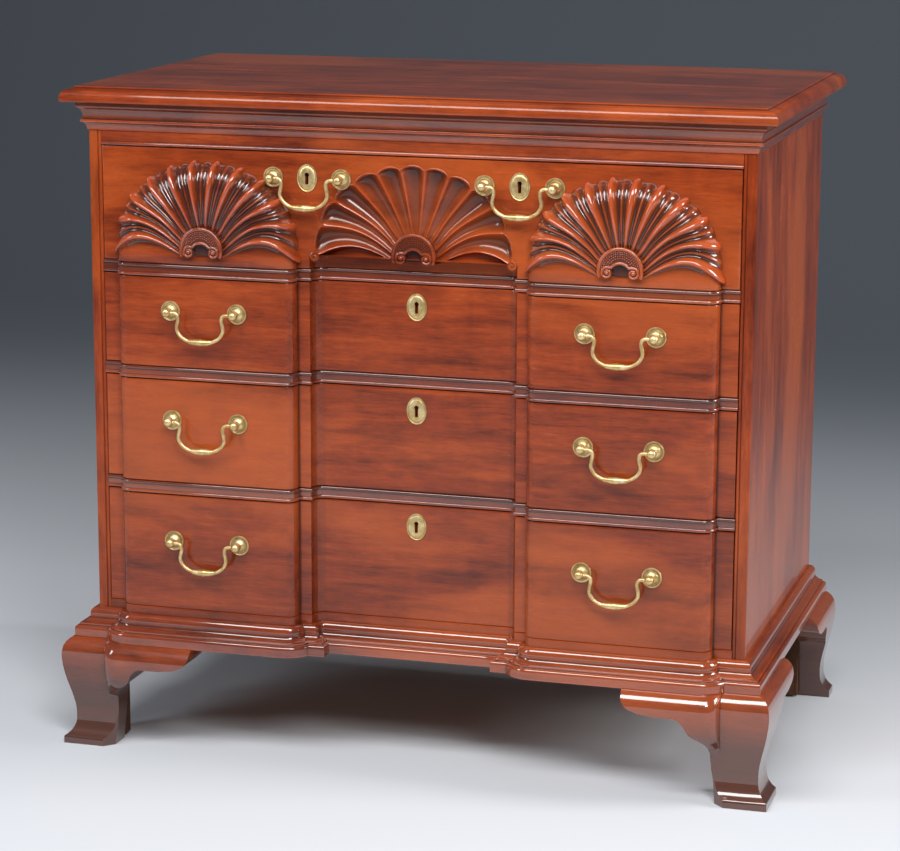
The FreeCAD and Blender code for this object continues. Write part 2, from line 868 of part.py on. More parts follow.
def glue_blocks(sign, rear):
    """A corner block inside a foot and a strip along the inside of each of its brackets."""
    inner = HALF - s.bracket_inner
    x = span(sign * inner, sign * (inner - s.glue_block))
    toward = -1 if rear else 1
    face = BACK - s.rear_bracket_thick if rear else FRONT + s.bracket_inner
    y = span(face, face + toward * s.glue_block)
    pieces = [box(x, y, (s.floor_gap, s.foot_high))]
    z = (s.foot_high - s.glue_strip, s.foot_high)
    near = inner - s.glue_block
    across = span(sign * near, sign * (near - s.glue_strip_long))
    front = span(face, face + toward * s.glue_strip)
    pieces.append(box(across, front, z))
    begin = face + toward * s.glue_block
    along = span(begin, begin + toward * s.glue_strip_long)
    side = span(sign * inner, sign * (inner - s.glue_strip))
    pieces.append(box(side, along, z))
    return pieces


def make_feet():
    """Four bracket feet, each of two brackets, with their glue blocks."""
    blocks = []
    for name, sign in SIDES.items():
        node(f"front_{name}_foot", group(front_bracket(sign), side_bracket(sign)))
        node(f"rear_{name}_foot", group(rear_side_bracket(sign), rear_bracket(sign)))
        blocks += glue_blocks(sign, False) + glue_blocks(sign, True)
    node("foot_glue_blocks", group(*blocks))


# Drawers

FRONT_HALF = OPENING_HALF - s.front_side_gap
BOX_FRONT = FRONT + s.front_back
BOX_BACK = BACK_FACE - s.box_rear_room
BOLT_Y = BOX_FRONT - s.lock_thick / 2 - s.bolt_thick / 2


def front_low(number):
    """The lower edge of a drawer front."""
    return FLOOR[number] + s.drawer_run_gap


def front_high(number):
    """The upper edge of a drawer front."""
    return FLOOR[number] + opening(number) - s.front_top_gap


def handle_level(number):
    """The height of a drawer's bail pivots."""
    if number == 1:
        return TOP_RAIL_LOW - s.top_handle_drop
    return FLOOR[number] + opening(number) / 2 + s.handle_above_mid


def escutcheon_level(number):
    """The height of a drawer's keyhole."""
    if number == 1:
        return handle_level(1)
    return FLOOR[number] + opening(number) - s.escutcheon_drop


def shell_level():
    """The level that the shells stand on, at the top of the block feet of the top drawer."""
    return front_low(1) + s.block_foot_high


def shell_reach():
    """The outer radius of a shell, from its foot to its topmost lobe."""
    return front_high(1) - s.shell_top_margin - shell_level()


def handle_places(number):
    """The middle of each handle along X, from left to right.

    The top drawer's handles stand in from the side shells, with their rosettes just clear.
    """
    half = BLOCK_MID
    if number == 1:
        apart = shell_reach() + s.rosette_radius + s.top_handle_gap
        rise = handle_level(1) - shell_level()
        half = BLOCK_MID - root(apart * apart - rise * rise) - s.post_spacing / 2
    return {"left": -half, "right": half}


def handle_face(number):
    """The plane of the drawer front behind its handles."""
    return FRONT if number == 1 else FRONT - s.block_rise


def lock_places(number):
    """The middle of each lock along X."""
    return list(handle_places(1).values()) if number == 1 else [as_size(0)]


def keyhole_face(number):
    """The plane of the drawer front round its keyholes."""
    return FRONT if number == 1 else FRONT + s.recess_depth


def keyhole(x, number, back):
    """A keyhole from in front of the escutcheon back to a given depth."""
    front = keyhole_face(number) - s.escutcheon_thick - OVERLAP
    level = escutcheon_level(number)
    hole = cylinder(s.keyhole_radius, back - front, (x, front, level), "y")
    half = s.keyhole_slot / 2
    slot = box((x - half, x + half), (front, back), (level - s.keyhole_drop, level))
    return fuse(hole, slot)


def lock_box(x, number):
    """The space of one lock, let into the back of a drawer front."""
    half = s.lock_wide / 2
    high = front_high(number) - s.bolt_gap * 2
    return (x - half, x + half), (BOX_FRONT - s.lock_thick, BOX_FRONT), (high - s.lock_high, high)


def bolt_slot(x, number, gap):
    """The way that a lock bolt slides in, from inside the lock up through the front's top edge."""
    half = s.bolt_wide / 2 + gap
    top = front_high(number)
    low = top - s.bolt_high - gap
    return box((x - half, x + half), (BOLT_Y - gap, BOLT_Y + s.bolt_thick + gap), (low, top))


def drawer_front_blank(number):
    """A drawer front before its holes: blocked from end to end, or flat with shells at the top."""
    low, high = front_low(number), front_high(number)
    if number > 1:
        return blocked_prism(as_size(0), FRONT_HALF, BOX_FRONT, low, high)
    level = shell_level()
    foot = blocked_prism(as_size(0), FRONT_HALF, BOX_FRONT, low, level)
    flat_board = box((-FRONT_HALF, FRONT_HALF), (FRONT, BOX_FRONT), (level, high))
    return cut(fuse(foot, flat_board), shell_hollow(level))


def rib_angles():
    """The directions of a shell's ribs, in degrees up from the level on the right."""
    count = int(s.shell_ribs.value)
    return [180 * (index + 0.5) / count for index in range(count)]


def rib(x, y, level, angle):
    """One rib of a shell: a cone that widens outwards and ends in a round lobe."""
    turn = Rotation(Vector(0, 1, 0), 90 - angle)
    reach = shell_reach() - s.shell_rib_radius
    cone = doc.addObject("Part::Cone", "Rib")
    bind(cone, Radius1=s.shell_rib_root, Radius2=s.shell_rib_radius, Height=reach)
    place(cone, x, y, level, rotation=turn)
    lobe = doc.addObject("Part::Sphere", "Lobe")
    bind(lobe, Radius=s.shell_rib_radius)
    across = reach * round(math.cos(math.radians(angle)), 6)
    up = reach * round(math.sin(math.radians(angle)), 6)
    place(lobe, x + across, y, level + up)
    return [cone, lobe]


def half_disc(x, y, level, radius, thick):
    """A flat half disc that stands up from a level, from its front plane back."""
    start = (x + radius, level)
    steps = [(x, level + radius, radius, 1), (x - radius, level, radius, 1), start]
    return prism("XZ_Plane", start, steps, thick, at=(0, y + thick, 0))


def shell_hollow(level):
    """The hollow shell of the middle: a sunk half disc with hollow lobes round it."""
    deep = s.shell_hollow
    radius = shell_reach() - s.shell_rib_radius
    disc = half_disc(as_size(0), FRONT - OVERLAP, level, radius, deep + OVERLAP)
    tools = [disc]
    for angle in rib_angles():
        tools += rib(as_size(0), FRONT + deep / 2, level, angle)
    below = (level - s.block_rise * 2, level)
    wide = shell_reach() + OVERLAP
    keep = box((-wide, wide), (FRONT - s.block_rise * 2, BOX_FRONT), below)
    return cut(fuse(*tools), keep)


def make_shells():
    """The two applied shells: ribs on a half disc round a raised hub."""
    level = shell_level()
    face = FRONT - s.shell_rise
    radius = shell_reach() - s.shell_rib_radius
    wide = shell_reach() + OVERLAP
    rise = s.shell_rise + s.shell_hub_rise
    for name, sign in SIDES.items():
        x = sign * BLOCK_MID
        parts = [half_disc(x, face, level, radius, s.shell_rise)]
        for angle in rib_angles():
            parts += rib(x, face, level, angle)
        parts.append(half_disc(x, FRONT - rise, level, s.shell_hub_radius, rise))
        room = box((x - wide, x + wide), (FRONT - rise, FRONT), (level, level + wide))
        node(f"shell_{name}", common(fuse(*parts), room))


def make_drawer(number):
    """One drawer: front, box of sides and back, and bottom."""
    tools = []
    for x in handle_places(number).values():
        for post_x in (x - s.post_spacing / 2, x + s.post_spacing / 2):
            start = (post_x, handle_face(number) - OVERLAP, handle_level(number))
            length = BOX_FRONT - handle_face(number) + 2 * OVERLAP
            tools.append(cylinder(s.shank_radius + s.shank_gap, length, start, "y"))
    for x in lock_places(number):
        tools.append(box(*lock_box(x, number)))
        tools.append(bolt_slot(x, number, s.bolt_gap))
        tools.append(keyhole(x, number, BOX_FRONT))
    node(f"drawer_{number}_front", cut(drawer_front_blank(number), *tools))

    low = front_low(number)
    high = front_high(number) - s.box_top_drop
    outer = OPENING_HALF - s.box_side_gap
    inner = outer - s.box_side_thick
    pieces = []
    for sign in SIDES.values():
        x = span(sign * outer, sign * inner)
        pieces.append(box(x, (BOX_FRONT, BOX_BACK), (low, high)))
    back_low = low + s.box_bottom_rise + s.box_bottom_thick
    pieces.append(box((-inner, inner), (BOX_BACK - s.box_back_thick, BOX_BACK), (back_low, high)))
    node(f"drawer_{number}_box", group(*pieces))
    bottom = (low + s.box_bottom_rise, back_low)
    node(f"drawer_{number}_bottom", box((-inner, inner), (BOX_FRONT, BOX_BACK), bottom))


# Brasses and locks

# A turning drawn upright, on a face that looks towards the viewer
FACING = Rotation(Vector(1, 0, 0), 90)


def post(x, number):
    """A handle post: domed rosette, knuckle with the bail's eye, shank and square nut."""
    face = handle_face(number)
    level = handle_level(number)
    reach = s.pivot_reach
    inside = BOX_FRONT - face
    neck_level = s.dome_high + s.rosette_thick
    ball = reach - s.knuckle_radius * BALL_FOOT[1]
    shank_end = -inside - s.nut_thick - s.shank_end
    steps = [
        (as_size(0), shank_end),
        (s.shank_radius, shank_end),
        (s.shank_radius, as_size(0)),
        (s.rosette_radius, as_size(0)),
        (s.rosette_radius, s.rosette_thick),
        (s.neck_radius, neck_level, s.rosette_radius, 1),
        (s.knuckle_radius * BALL_FOOT[0], ball),
        (as_size(0), reach + s.knuckle_radius, s.knuckle_radius, 1),
    ]
    body = turned(steps[-1][:2], steps, at=(x, face, level), rotation=FACING)
    half_eye = s.knuckle_radius + OVERLAP
    eye_start = (x - half_eye, face - reach, level)
    eye = cylinder(s.bail_radius + s.pin_gap, half_eye * 2, eye_start, "x")
    nut_x = (x - s.nut_wide / 2, x + s.nut_wide / 2)
    nut_z = (level - s.nut_wide / 2, level + s.nut_wide / 2)
    nut = box(nut_x, (BOX_FRONT, BOX_FRONT + s.nut_thick), nut_z)
    hole = cylinder(s.shank_radius, s.nut_thick + 2 * OVERLAP, (x, BOX_FRONT - OVERLAP, level), "y")
    return [cut(body, eye), cut(nut, hole)]


def make_bail(name, x, number):
    """One bail: a bent rod with a pin at each end and a swelling in the grip."""
    y = handle_face(number) - s.pivot_reach
    pivot = handle_level(number)
    radius = s.bail_radius
    bend = s.bail_bend_radius
    corner = s.bail_corner_radius
    neck = s.bail_neck_half
    pin_end = s.post_spacing / 2 - s.knuckle_radius + s.pin_long
    low = pivot - s.bail_drop
    drop = s.bail_drop - corner - bend
    parts = []
    for sign in SIDES.values():
        left, right = span(sign * (neck + bend), sign * pin_end)
        parts.append(cylinder(radius, right - left, (x + left, y, pivot), "x"))
        parts.append(elbow(x + sign * (neck + bend), y, pivot - bend, bend, sign, "upper"))
        parts.append(cylinder(radius, drop, (x + sign * neck, y, low + corner), "z"))
        parts.append(elbow(x + sign * (neck - corner), y, low + corner, corner, sign, "lower"))
    half = neck - corner
    start = (-half, as_size(0))
    swell = bow(s.bail_mid_radius - radius, half)
    steps = [(half, as_size(0)), (half, radius), (-half, radius, swell, 1), start]
    parts.append(turned(start, steps, at=(x, y, low), axis="H_Axis"))
    node(name, fuse(*parts))


def elbow(x, y, z, bend, sign, which):
    """A quarter bend of a bail about its centre, in the upright plane."""
    item = doc.addObject("Part::Torus", "Elbow")
    bind(item, Radius1=bend, Radius2=s.bail_radius)
    item.Angle3 = 90
    start = {("upper", 1): 90, ("upper", -1): 0, ("lower", 1): -90, ("lower", -1): 180}[which, sign]
    upright = Rotation(Vector(1, 0, 0), 90)
    return place(item, x, y, z, rotation=upright * Rotation(Vector(0, 0, 1), start))


# An ellipse with its long axis upright, on a face that looks towards the viewer
OVAL_UPRIGHT = Rotation(Vector(0, 1, 0), 90) * Rotation(Vector(1, 0, 0), 90)


def make_brasses(number):
    """A drawer's handles and escutcheons."""
    posts = []
    for name, x in handle_places(number).items():
        for post_x in (x - s.post_spacing / 2, x + s.post_spacing / 2):
            posts += post(post_x, number)
        make_bail(f"drawer_{number}_bail_{name}", x, number)
    node(f"drawer_{number}_handle_posts", group(*posts))
    plates = []
    for x in lock_places(number):
        face = keyhole_face(number)
        plate = doc.addObject("Part::Ellipse", "Oval")
        bind(plate, MajorRadius=s.escutcheon_high / 2, MinorRadius=s.escutcheon_wide / 2)
        place(plate, x, face, escutcheon_level(number), rotation=OVAL_UPRIGHT)
        pad = doc.addObject("Part::Extrusion", "Plate")
        pad.Base = plate
        pad.DirMode = "Custom"
        pad.Dir = Vector(0, -1, 0)
        pad.Solid = True
        bind(pad, LengthFwd=s.escutcheon_thick)
        plates.append(cut(pad, keyhole(x, number, face + OVERLAP)))
    node(f"drawer_{number}_escutcheon", plates[0] if len(plates) == 1 else group(*plates))


def make_locks(number):
    """A drawer's locks and their sliding bolts."""
    locks = []
    for name, x in zip(("left", "right"), lock_places(number)):
        case = box(*lock_box(x, number))
        locks.append(cut(case, bolt_slot(x, number, s.bolt_gap), keyhole(x, number, BOLT_Y)))
        half = s.bolt_wide / 2
        top = front_high(number) - s.bolt_gap * 2
        z = (top - s.bolt_high + s.bolt_gap * 2, top)
        bolt = box((x - half, x + half), (BOLT_Y, BOLT_Y + s.bolt_thick), z)
        label = f"lock_bolt_{number}_{name}" if number == 1 else f"lock_bolt_{number}"
        node(label, bolt)
    node(f"drawer_{number}_lock", locks[0] if len(locks) == 1 else group(*locks))


def check_and_write():
    """Stops on any failed feature or bad shape, then writes one file per sub-part."""
    doc.recompute()
    for item in doc.Objects:
        if {"Invalid", "Error"} & set(item.State):
            raise RuntimeError(f"{item.Label} ({item.Name}) did not compute: {item.State}")
    for label, item in nodes.items():
        if item.Shape.isNull() or not item.Shape.isValid():
            raise RuntimeError(f"{label} has a bad shape")
    os.makedirs("parts", exist_ok=True)
    for label, item in nodes.items():
        item.Shape.exportStep(os.path.join("parts", f"{label}.step"))


make_top()
make_cove()
make_base()
make_sides()
make_rails()
make_runners()
make_bottom_and_back()
make_feet()
make_shells()
for drawer in DRAWERS:
    make_drawer(drawer)
    make_brasses(drawer)
    make_locks(drawer)
check_and_write()
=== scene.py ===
import math
from dataclasses import dataclass

import bmesh
import bpy
from mathutils import Matrix, Vector


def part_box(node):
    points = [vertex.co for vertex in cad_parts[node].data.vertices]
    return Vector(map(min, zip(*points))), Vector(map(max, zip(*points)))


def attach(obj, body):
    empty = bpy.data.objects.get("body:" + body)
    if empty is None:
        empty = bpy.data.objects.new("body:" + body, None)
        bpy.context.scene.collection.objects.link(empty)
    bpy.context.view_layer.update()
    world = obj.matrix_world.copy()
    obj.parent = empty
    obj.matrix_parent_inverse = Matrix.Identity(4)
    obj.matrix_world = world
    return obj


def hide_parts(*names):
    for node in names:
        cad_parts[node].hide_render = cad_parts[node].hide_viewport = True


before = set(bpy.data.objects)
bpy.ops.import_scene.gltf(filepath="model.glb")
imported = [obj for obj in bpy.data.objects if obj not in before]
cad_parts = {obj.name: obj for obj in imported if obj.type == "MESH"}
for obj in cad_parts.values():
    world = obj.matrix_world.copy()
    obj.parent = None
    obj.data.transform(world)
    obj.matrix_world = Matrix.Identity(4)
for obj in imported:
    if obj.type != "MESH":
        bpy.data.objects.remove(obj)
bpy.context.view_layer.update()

# Block-and-shell chest of four drawers.  Every length below is in millimetres until a skin is
# made, in the chest's own frame: X to the right, Y to the back, Z up, the floor at zero.
MM = 0.001
WELD = 0.01 * MM
SIDES = {"left": -1, "right": 1}


def corners(node):
    """The lowest and highest corner of a CAD node."""
    low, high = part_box(node)
    return low / MM, high / MM


# Planes and levels of the case
SIDE_LOW, SIDE_HIGH = corners("case_side_right")
FRONT, BACK = SIDE_LOW.y, SIDE_HIGH.y
OPENING, HALF = SIDE_LOW.x, SIDE_HIGH.x
FOOT_TOP, TOP_UNDER = SIDE_LOW.z, SIDE_HIGH.z
TOP = corners("top_board")[1].z
TOP_BACK = corners("top_board")[1].y
BOX_FRONT = corners("drawer_2_front")[1].y
FLOORS = {number: corners(f"drawer_{number}_front")[0].z for number in (1, 2, 3, 4)}

# Blocking of the front, in plan
RISE = 20
RECESS = 20
ROUND = 15
BLOCK_OUTER = HALF - 41
BLOCK_INNER = BLOCK_OUTER - 243.5
BLOCK_MID = (BLOCK_OUTER + BLOCK_INNER) / 2
RECESS_EDGE = BLOCK_INNER - 16
TINY = 0.02


# Shapes


class Piece:
    """The skin of one piece while it is being shaped."""

    def __init__(self):
        self.skin = bmesh.new()
        # The carve colour says how much of a ridge (red) and of a valley (green) a point is: on wood ridges become
        # rubbed wear and valleys painted shade, on brass valleys become tarnish.
        self.carve = self.skin.verts.layers.float_color.new("carve")
        self.finish = 0

    def face(self, verts):
        """Adds a face in the finish that the piece is at."""
        self.skin.faces.new(verts).material_index = self.finish

    def point(self, place):
        """Adds a point; two more numbers say how much of a ridge and of a valley it is."""
        vert = self.skin.verts.new(Vector(place[:3]) * MM)
        ridge, valley = place[3:] if len(place) > 3 else (0, 0)
        vert[self.carve] = (ridge, valley, 0, 1)
        return vert

    def loft(self, rows, ring=False, caps=False):
        """Skins rows of points; a ring joins each row's ends, and caps fill the outer rows."""
        grid = [[self.point(place) for place in row] for row in rows]
        for low, high in zip(grid, grid[1:]):
            count = len(low)
            for i in range(count if ring else count - 1):
                j = (i + 1) % count
                self.face((low[i], low[j], high[j], high[i]))
        if caps:
            self.face(grid[0])
            self.face(grid[-1])
        return grid

    def thicken(self, back):
        """Closes an open skin: its border goes straight back to a plane and is filled there."""
        bmesh.ops.remove_doubles(self.skin, verts=self.skin.verts, dist=WELD)
        border = [edge for edge in self.skin.edges if edge.is_boundary]
        grown = bmesh.ops.extrude_edge_only(self.skin, edges=border)["geom"]
        for vert in grown:
            if isinstance(vert, bmesh.types.BMVert):
                vert.co.y = back * MM
        rim = [edge for edge in grown if isinstance(edge, bmesh.types.BMEdge) and edge.is_boundary]
        bmesh.ops.contextual_create(self.skin, geom=rim)

    def board(self, low, high, edge=0.8):
        """A board between two corners, with its edges eased."""
        size = Vector(high) - Vector(low)
        middle = (Vector(high) + Vector(low)) / 2
        place = Matrix.Translation(middle * MM) @ Matrix.Diagonal((*(size * MM), 1))
        made = bmesh.ops.create_cube(self.skin, size=1, matrix=place)["verts"]
        edges = {line for vert in made for line in vert.link_edges}
        for face in {face for vert in made for face in vert.link_faces}:
            face.material_index = self.finish
        bmesh.ops.bevel(
            self.skin, geom=list(edges), offset=edge * MM, segments=2, profile=0.5, affect="EDGES"
        )

    def tube(self, path, radii, sides=12):
        """A round rod along a path, with a radius at each point, closed at both ends."""
        points = [Vector(place) for place in path]
        across = None
        rows = []
        for i, place in enumerate(points):
            along = (points[min(i + 1, len(points) - 1)] - points[max(i - 1, 0)]).normalized()
            if across is None:
                across = along.orthogonal().normalized()
            across = (across - along * across.dot(along)).normalized()
            other = along.cross(across)
            turns = [2 * math.pi * k / sides for k in range(sides)]
            rows.append([place + (across * math.cos(t) + other * math.sin(t)) * radii[i] for t in turns])
        self.loft(rows, ring=True, caps=True)

    def turning(self, profile, centre, sides=40):
        """A turned form about an axis that runs towards the viewer: (radius, reach) pairs."""
        cx, cy, cz = centre
        rows = []
        for radius, reach, *valley in profile:
            turns = [2 * math.pi * k / sides for k in range(sides)]
            carving = (0, valley[0]) if valley else ()
            rows.append([(cx + radius * math.cos(t), cy - reach, cz + radius * math.sin(t), *carving) for t in turns])
        self.loft(rows, ring=True, caps=True)


def make(piece, name, finishes, body, nodes=(), smooth=38, mitred=False):
    """Turns a skin into an object that rides on a body and stands for its CAD nodes.

    On a mitred piece the faces that look sideways outside the case get the second finish."""
    skin = piece.skin
    bmesh.ops.remove_doubles(skin, verts=skin.verts, dist=WELD)
    bmesh.ops.dissolve_degenerate(skin, dist=WELD / 10, edges=skin.edges)
    bmesh.ops.recalc_face_normals(skin, faces=skin.faces)
    if mitred:
        for face in skin.faces:
            outside = abs(face.calc_center_median().x) > HALF * MM
            face.material_index = int(outside and abs(face.normal.x) > abs(face.normal.y))
    mesh = bpy.data.meshes.new(name)
    skin.to_mesh(mesh)
    skin.free()
    mesh.shade_smooth()
    mesh.set_sharp_from_angle(angle=math.radians(smooth))
    for finish in finishes:
        mesh.materials.append(finish)
    item = bpy.data.objects.new(name, mesh)
    bpy.context.scene.collection.objects.link(item)
    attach(item, body)
    if nodes:
        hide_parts(*nodes)
    return item


def cut(item, cutter):
    """Cuts another skin's solids out of an object and applies the cut."""
    mesh = bpy.data.meshes.new("cutter")
    bmesh.ops.recalc_face_normals(cutter.skin, faces=cutter.skin.faces)
    cutter.skin.to_mesh(mesh)
    cutter.skin.free()
    old = {tuple(round(c, 6) for c in vert.co) for vert in item.data.vertices}
    tool = bpy.data.objects.new("cutter", mesh)
    bpy.context.scene.collection.objects.link(tool)
    change = item.modifiers.new("cut", "BOOLEAN")
    change.operation = "DIFFERENCE"
    change.object = tool
    change.solver = "EXACT"
    bpy.context.view_layer.update()
    graph = bpy.context.evaluated_depsgraph_get()
    changed = bpy.data.meshes.new_from_object(item.evaluated_get(graph))
    item.modifiers.clear()
    item.data = changed
    bpy.data.objects.remove(tool)
    for vert, carve in zip(changed.vertices, changed.attributes["carve"].data):
        if tuple(round(c, 6) for c in vert.co) not in old:
            carve.color = (0, 0, 0, 1)
    changed.shade_smooth()
    changed.set_sharp_from_angle(angle=math.radians(38))


def arc(cx, cy, radius, start, end, steps):
    """Points round a centre from one angle to another, in degrees, both ends included."""
    turns = [math.radians(start + (end - start) * i / steps) for i in range(steps + 1)]
    return [(cx + radius * math.cos(t), cy + radius * math.sin(t)) for t in turns]


def line(start, end, steps):
    """Points along a straight line, both ends included."""
    return [tuple(a + (b - a) * i / steps for a, b in zip(start, end)) for i in range(steps + 1)]


def blocked_half(out, end):
    """The blocked front from its middle to the right end, moved out by a reach, in plan."""
    recess, strip, block = FRONT + RECESS - out, FRONT - out, FRONT - RISE - out
    edge = RECESS_EDGE - out
    hollow = max(ROUND - out, TINY)
    swell = ROUND + out
    level = FRONT - RISE + ROUND
    lean = math.degrees(math.asin(max(level - strip, 0) / swell))
    root = swell * math.cos(math.radians(lean))
    inner, outer = BLOCK_INNER + ROUND, BLOCK_OUTER - ROUND
    points = line((0, recess), (edge - hollow, recess), 5)
    points += arc(edge - hollow, recess - hollow, hollow, 90, 0, 8)
    points += [(edge, strip), (inner - root - 3, strip), (inner - root, strip)]
    points += arc(inner, level, swell, 180 + lean, 270, 10)
    points += line((inner, block), (outer, block), 8)[1:-1]
    points += arc(outer, level, swell, 270, 360 - lean, 10)
    points += [(outer + root, strip)] + line((outer + root + 3, strip), (end, strip), 2)
    return points


def blocked_line(out, end):
    """The whole blocked front from left to right, in plan."""
    half = blocked_half(out, end)
    return [(-x, y) for x, y in reversed(half)] + half[1:]


def corner_turns(points):
    """How far a line turns at each point, in degrees; an outer corner is positive."""
    result = [0]
    for a, b, c in zip(points, points[1:], points[2:]):
        one, two = Vector(b) - Vector(a), Vector(c) - Vector(b)
        result.append(math.degrees(math.atan2(one.cross(two), one.dot(two))))
    return result + [0]


def rubbed_and_shaded(profile, ends=0.0, near=1.4):
    """A profile with how rubbed each outer corner is, how much painted shade each inner corner and each end gets, and
    clean points close to the corners.
    """
    points = []
    last = len(profile) - 1
    for i, turn in enumerate(corner_turns(profile)):
        place = Vector(profile[i])
        flat = 4 * near if abs(turn) > 3 else math.inf
        ridge = min(max((turn - 25) / 50, 0), 0.7)
        # The valley here is painted shade: in inner corners, and at the profile's two ends as much as ends asks.
        valley = ends if i in (0, last) else min(max((-turn - 8) / 30, 0), 1)
        around = []
        for j in (i - 1, i + 1):
            run = Vector(profile[j]) - place if 0 <= j <= last else Vector((0, 0))
            clean = run.length > (2 * near if ridge or valley else flat)
            around.append([(*(place + run.normalized() * near), 0, 0)] if clean else [])
        points += around[0] + [(*place, ridge, valley)] + around[1]
    return points


def eased(low, high, edge=1.3):
    """Reaches and levels that round the lower and upper edge of an upright face."""
    lower = [(-edge, low), (-edge * 0.3, low + edge * 0.3), (0, low + edge)]
    return lower + [(reach, low + high - level) for reach, level in reversed(lower)]


def blocked_board(piece, profile, end, back, ends=0.0, shade_range=(0.0, 0.0)):
    """A board with a blocked, moulded front edge: the profile is (reach, level) pairs.

    The last two numbers give how much painted shade the edge gets at its bottom and at its top."""
    # Painted shade in the inner corners of the blocking, in plan.
    inner_corner_shade = [min(max(-turn / 60, 0), 0.9) for turn in corner_turns(blocked_line(0, end))]
    low, high = profile[0][1], profile[-1][1]
    rows = []
    for out, level, ridge, valley in rubbed_and_shaded(profile, ends):
        row = []
        # Painted shade that changes from the bottom of the edge to its top.
        level_shade = shade_range[0] + (shade_range[1] - shade_range[0]) * (level - low) / (high - low)
        for (x, y), quirk in zip(blocked_line(out, end), inner_corner_shade):
            row.append((x, y, level, ridge, max(valley, quirk, level_shade)))
        rows.append([(-end, back, level)] + row + [(end, back, level)])
    piece.loft(rows, ring=True, caps=True)


def case_line(out, blocked):
    """Plan of a moulding round the case's sides and front, at a reach from its faces."""
    wide = HALF + out
    front = blocked_line(out, wide) if blocked else [(-wide, FRONT - out), (wide, FRONT - out)]
    return [(-wide, BACK)] + front + [(wide, BACK)]


def case_moulding(piece, profile, blocked):
    """A moulding round the case with mitred corners, closed against the case's faces."""
    low, high = profile[0][1], profile[-1][1]
    # Painted shade in the inner corners of the blocking, in plan.
    inner_corner_shade = [min(max(-turn / 60, 0), 0.9) for turn in corner_turns(case_line(0, blocked))]
    rows = []
    for out, level, ridge, valley in rubbed_and_shaded(profile):
        plan = zip(case_line(out, blocked), inner_corner_shade)
        rows.append([(x, y, level, ridge, max(valley, quirk)) for (x, y), quirk in plan])
    rows.insert(0, [(x, y, low) for x, y in case_line(0, blocked)])
    rows.append([(x, y, high) for x, y in case_line(0, blocked)])
    rows.append(rows[0])
    grid = piece.loft(rows)
    for end in (0, -1):
        piece.face([row[end] for row in grid[:-1]])


# Finishes


class Wire:
    """A shader socket that Python's operators can calculate with."""

    def __init__(self, finish, socket):
        self.finish = finish
        self.socket = socket

    def math(self, operation, *values, clamp=False):
        """A Math node on this socket and other values."""
        settings = {"operation": operation, "use_clamp": clamp}
        return self.finish.node("ShaderNodeMath", settings, dict(enumerate((self, *values))))

    def __add__(self, other):
        return self.math("ADD", other)

    __radd__ = __add__

    def __sub__(self, other):
        return self.math("SUBTRACT", other)

    def __rsub__(self, other):
        return (self * -1.0).math("ADD", other)

    def __mul__(self, other):
        return self.math("MULTIPLY", other)

    __rmul__ = __mul__

    def __pow__(self, other):
        return self.math("POWER", other)

    def clamped(self):
        """The value kept between 0 and 1."""
        return self.math("ADD", 0.0, clamp=True)


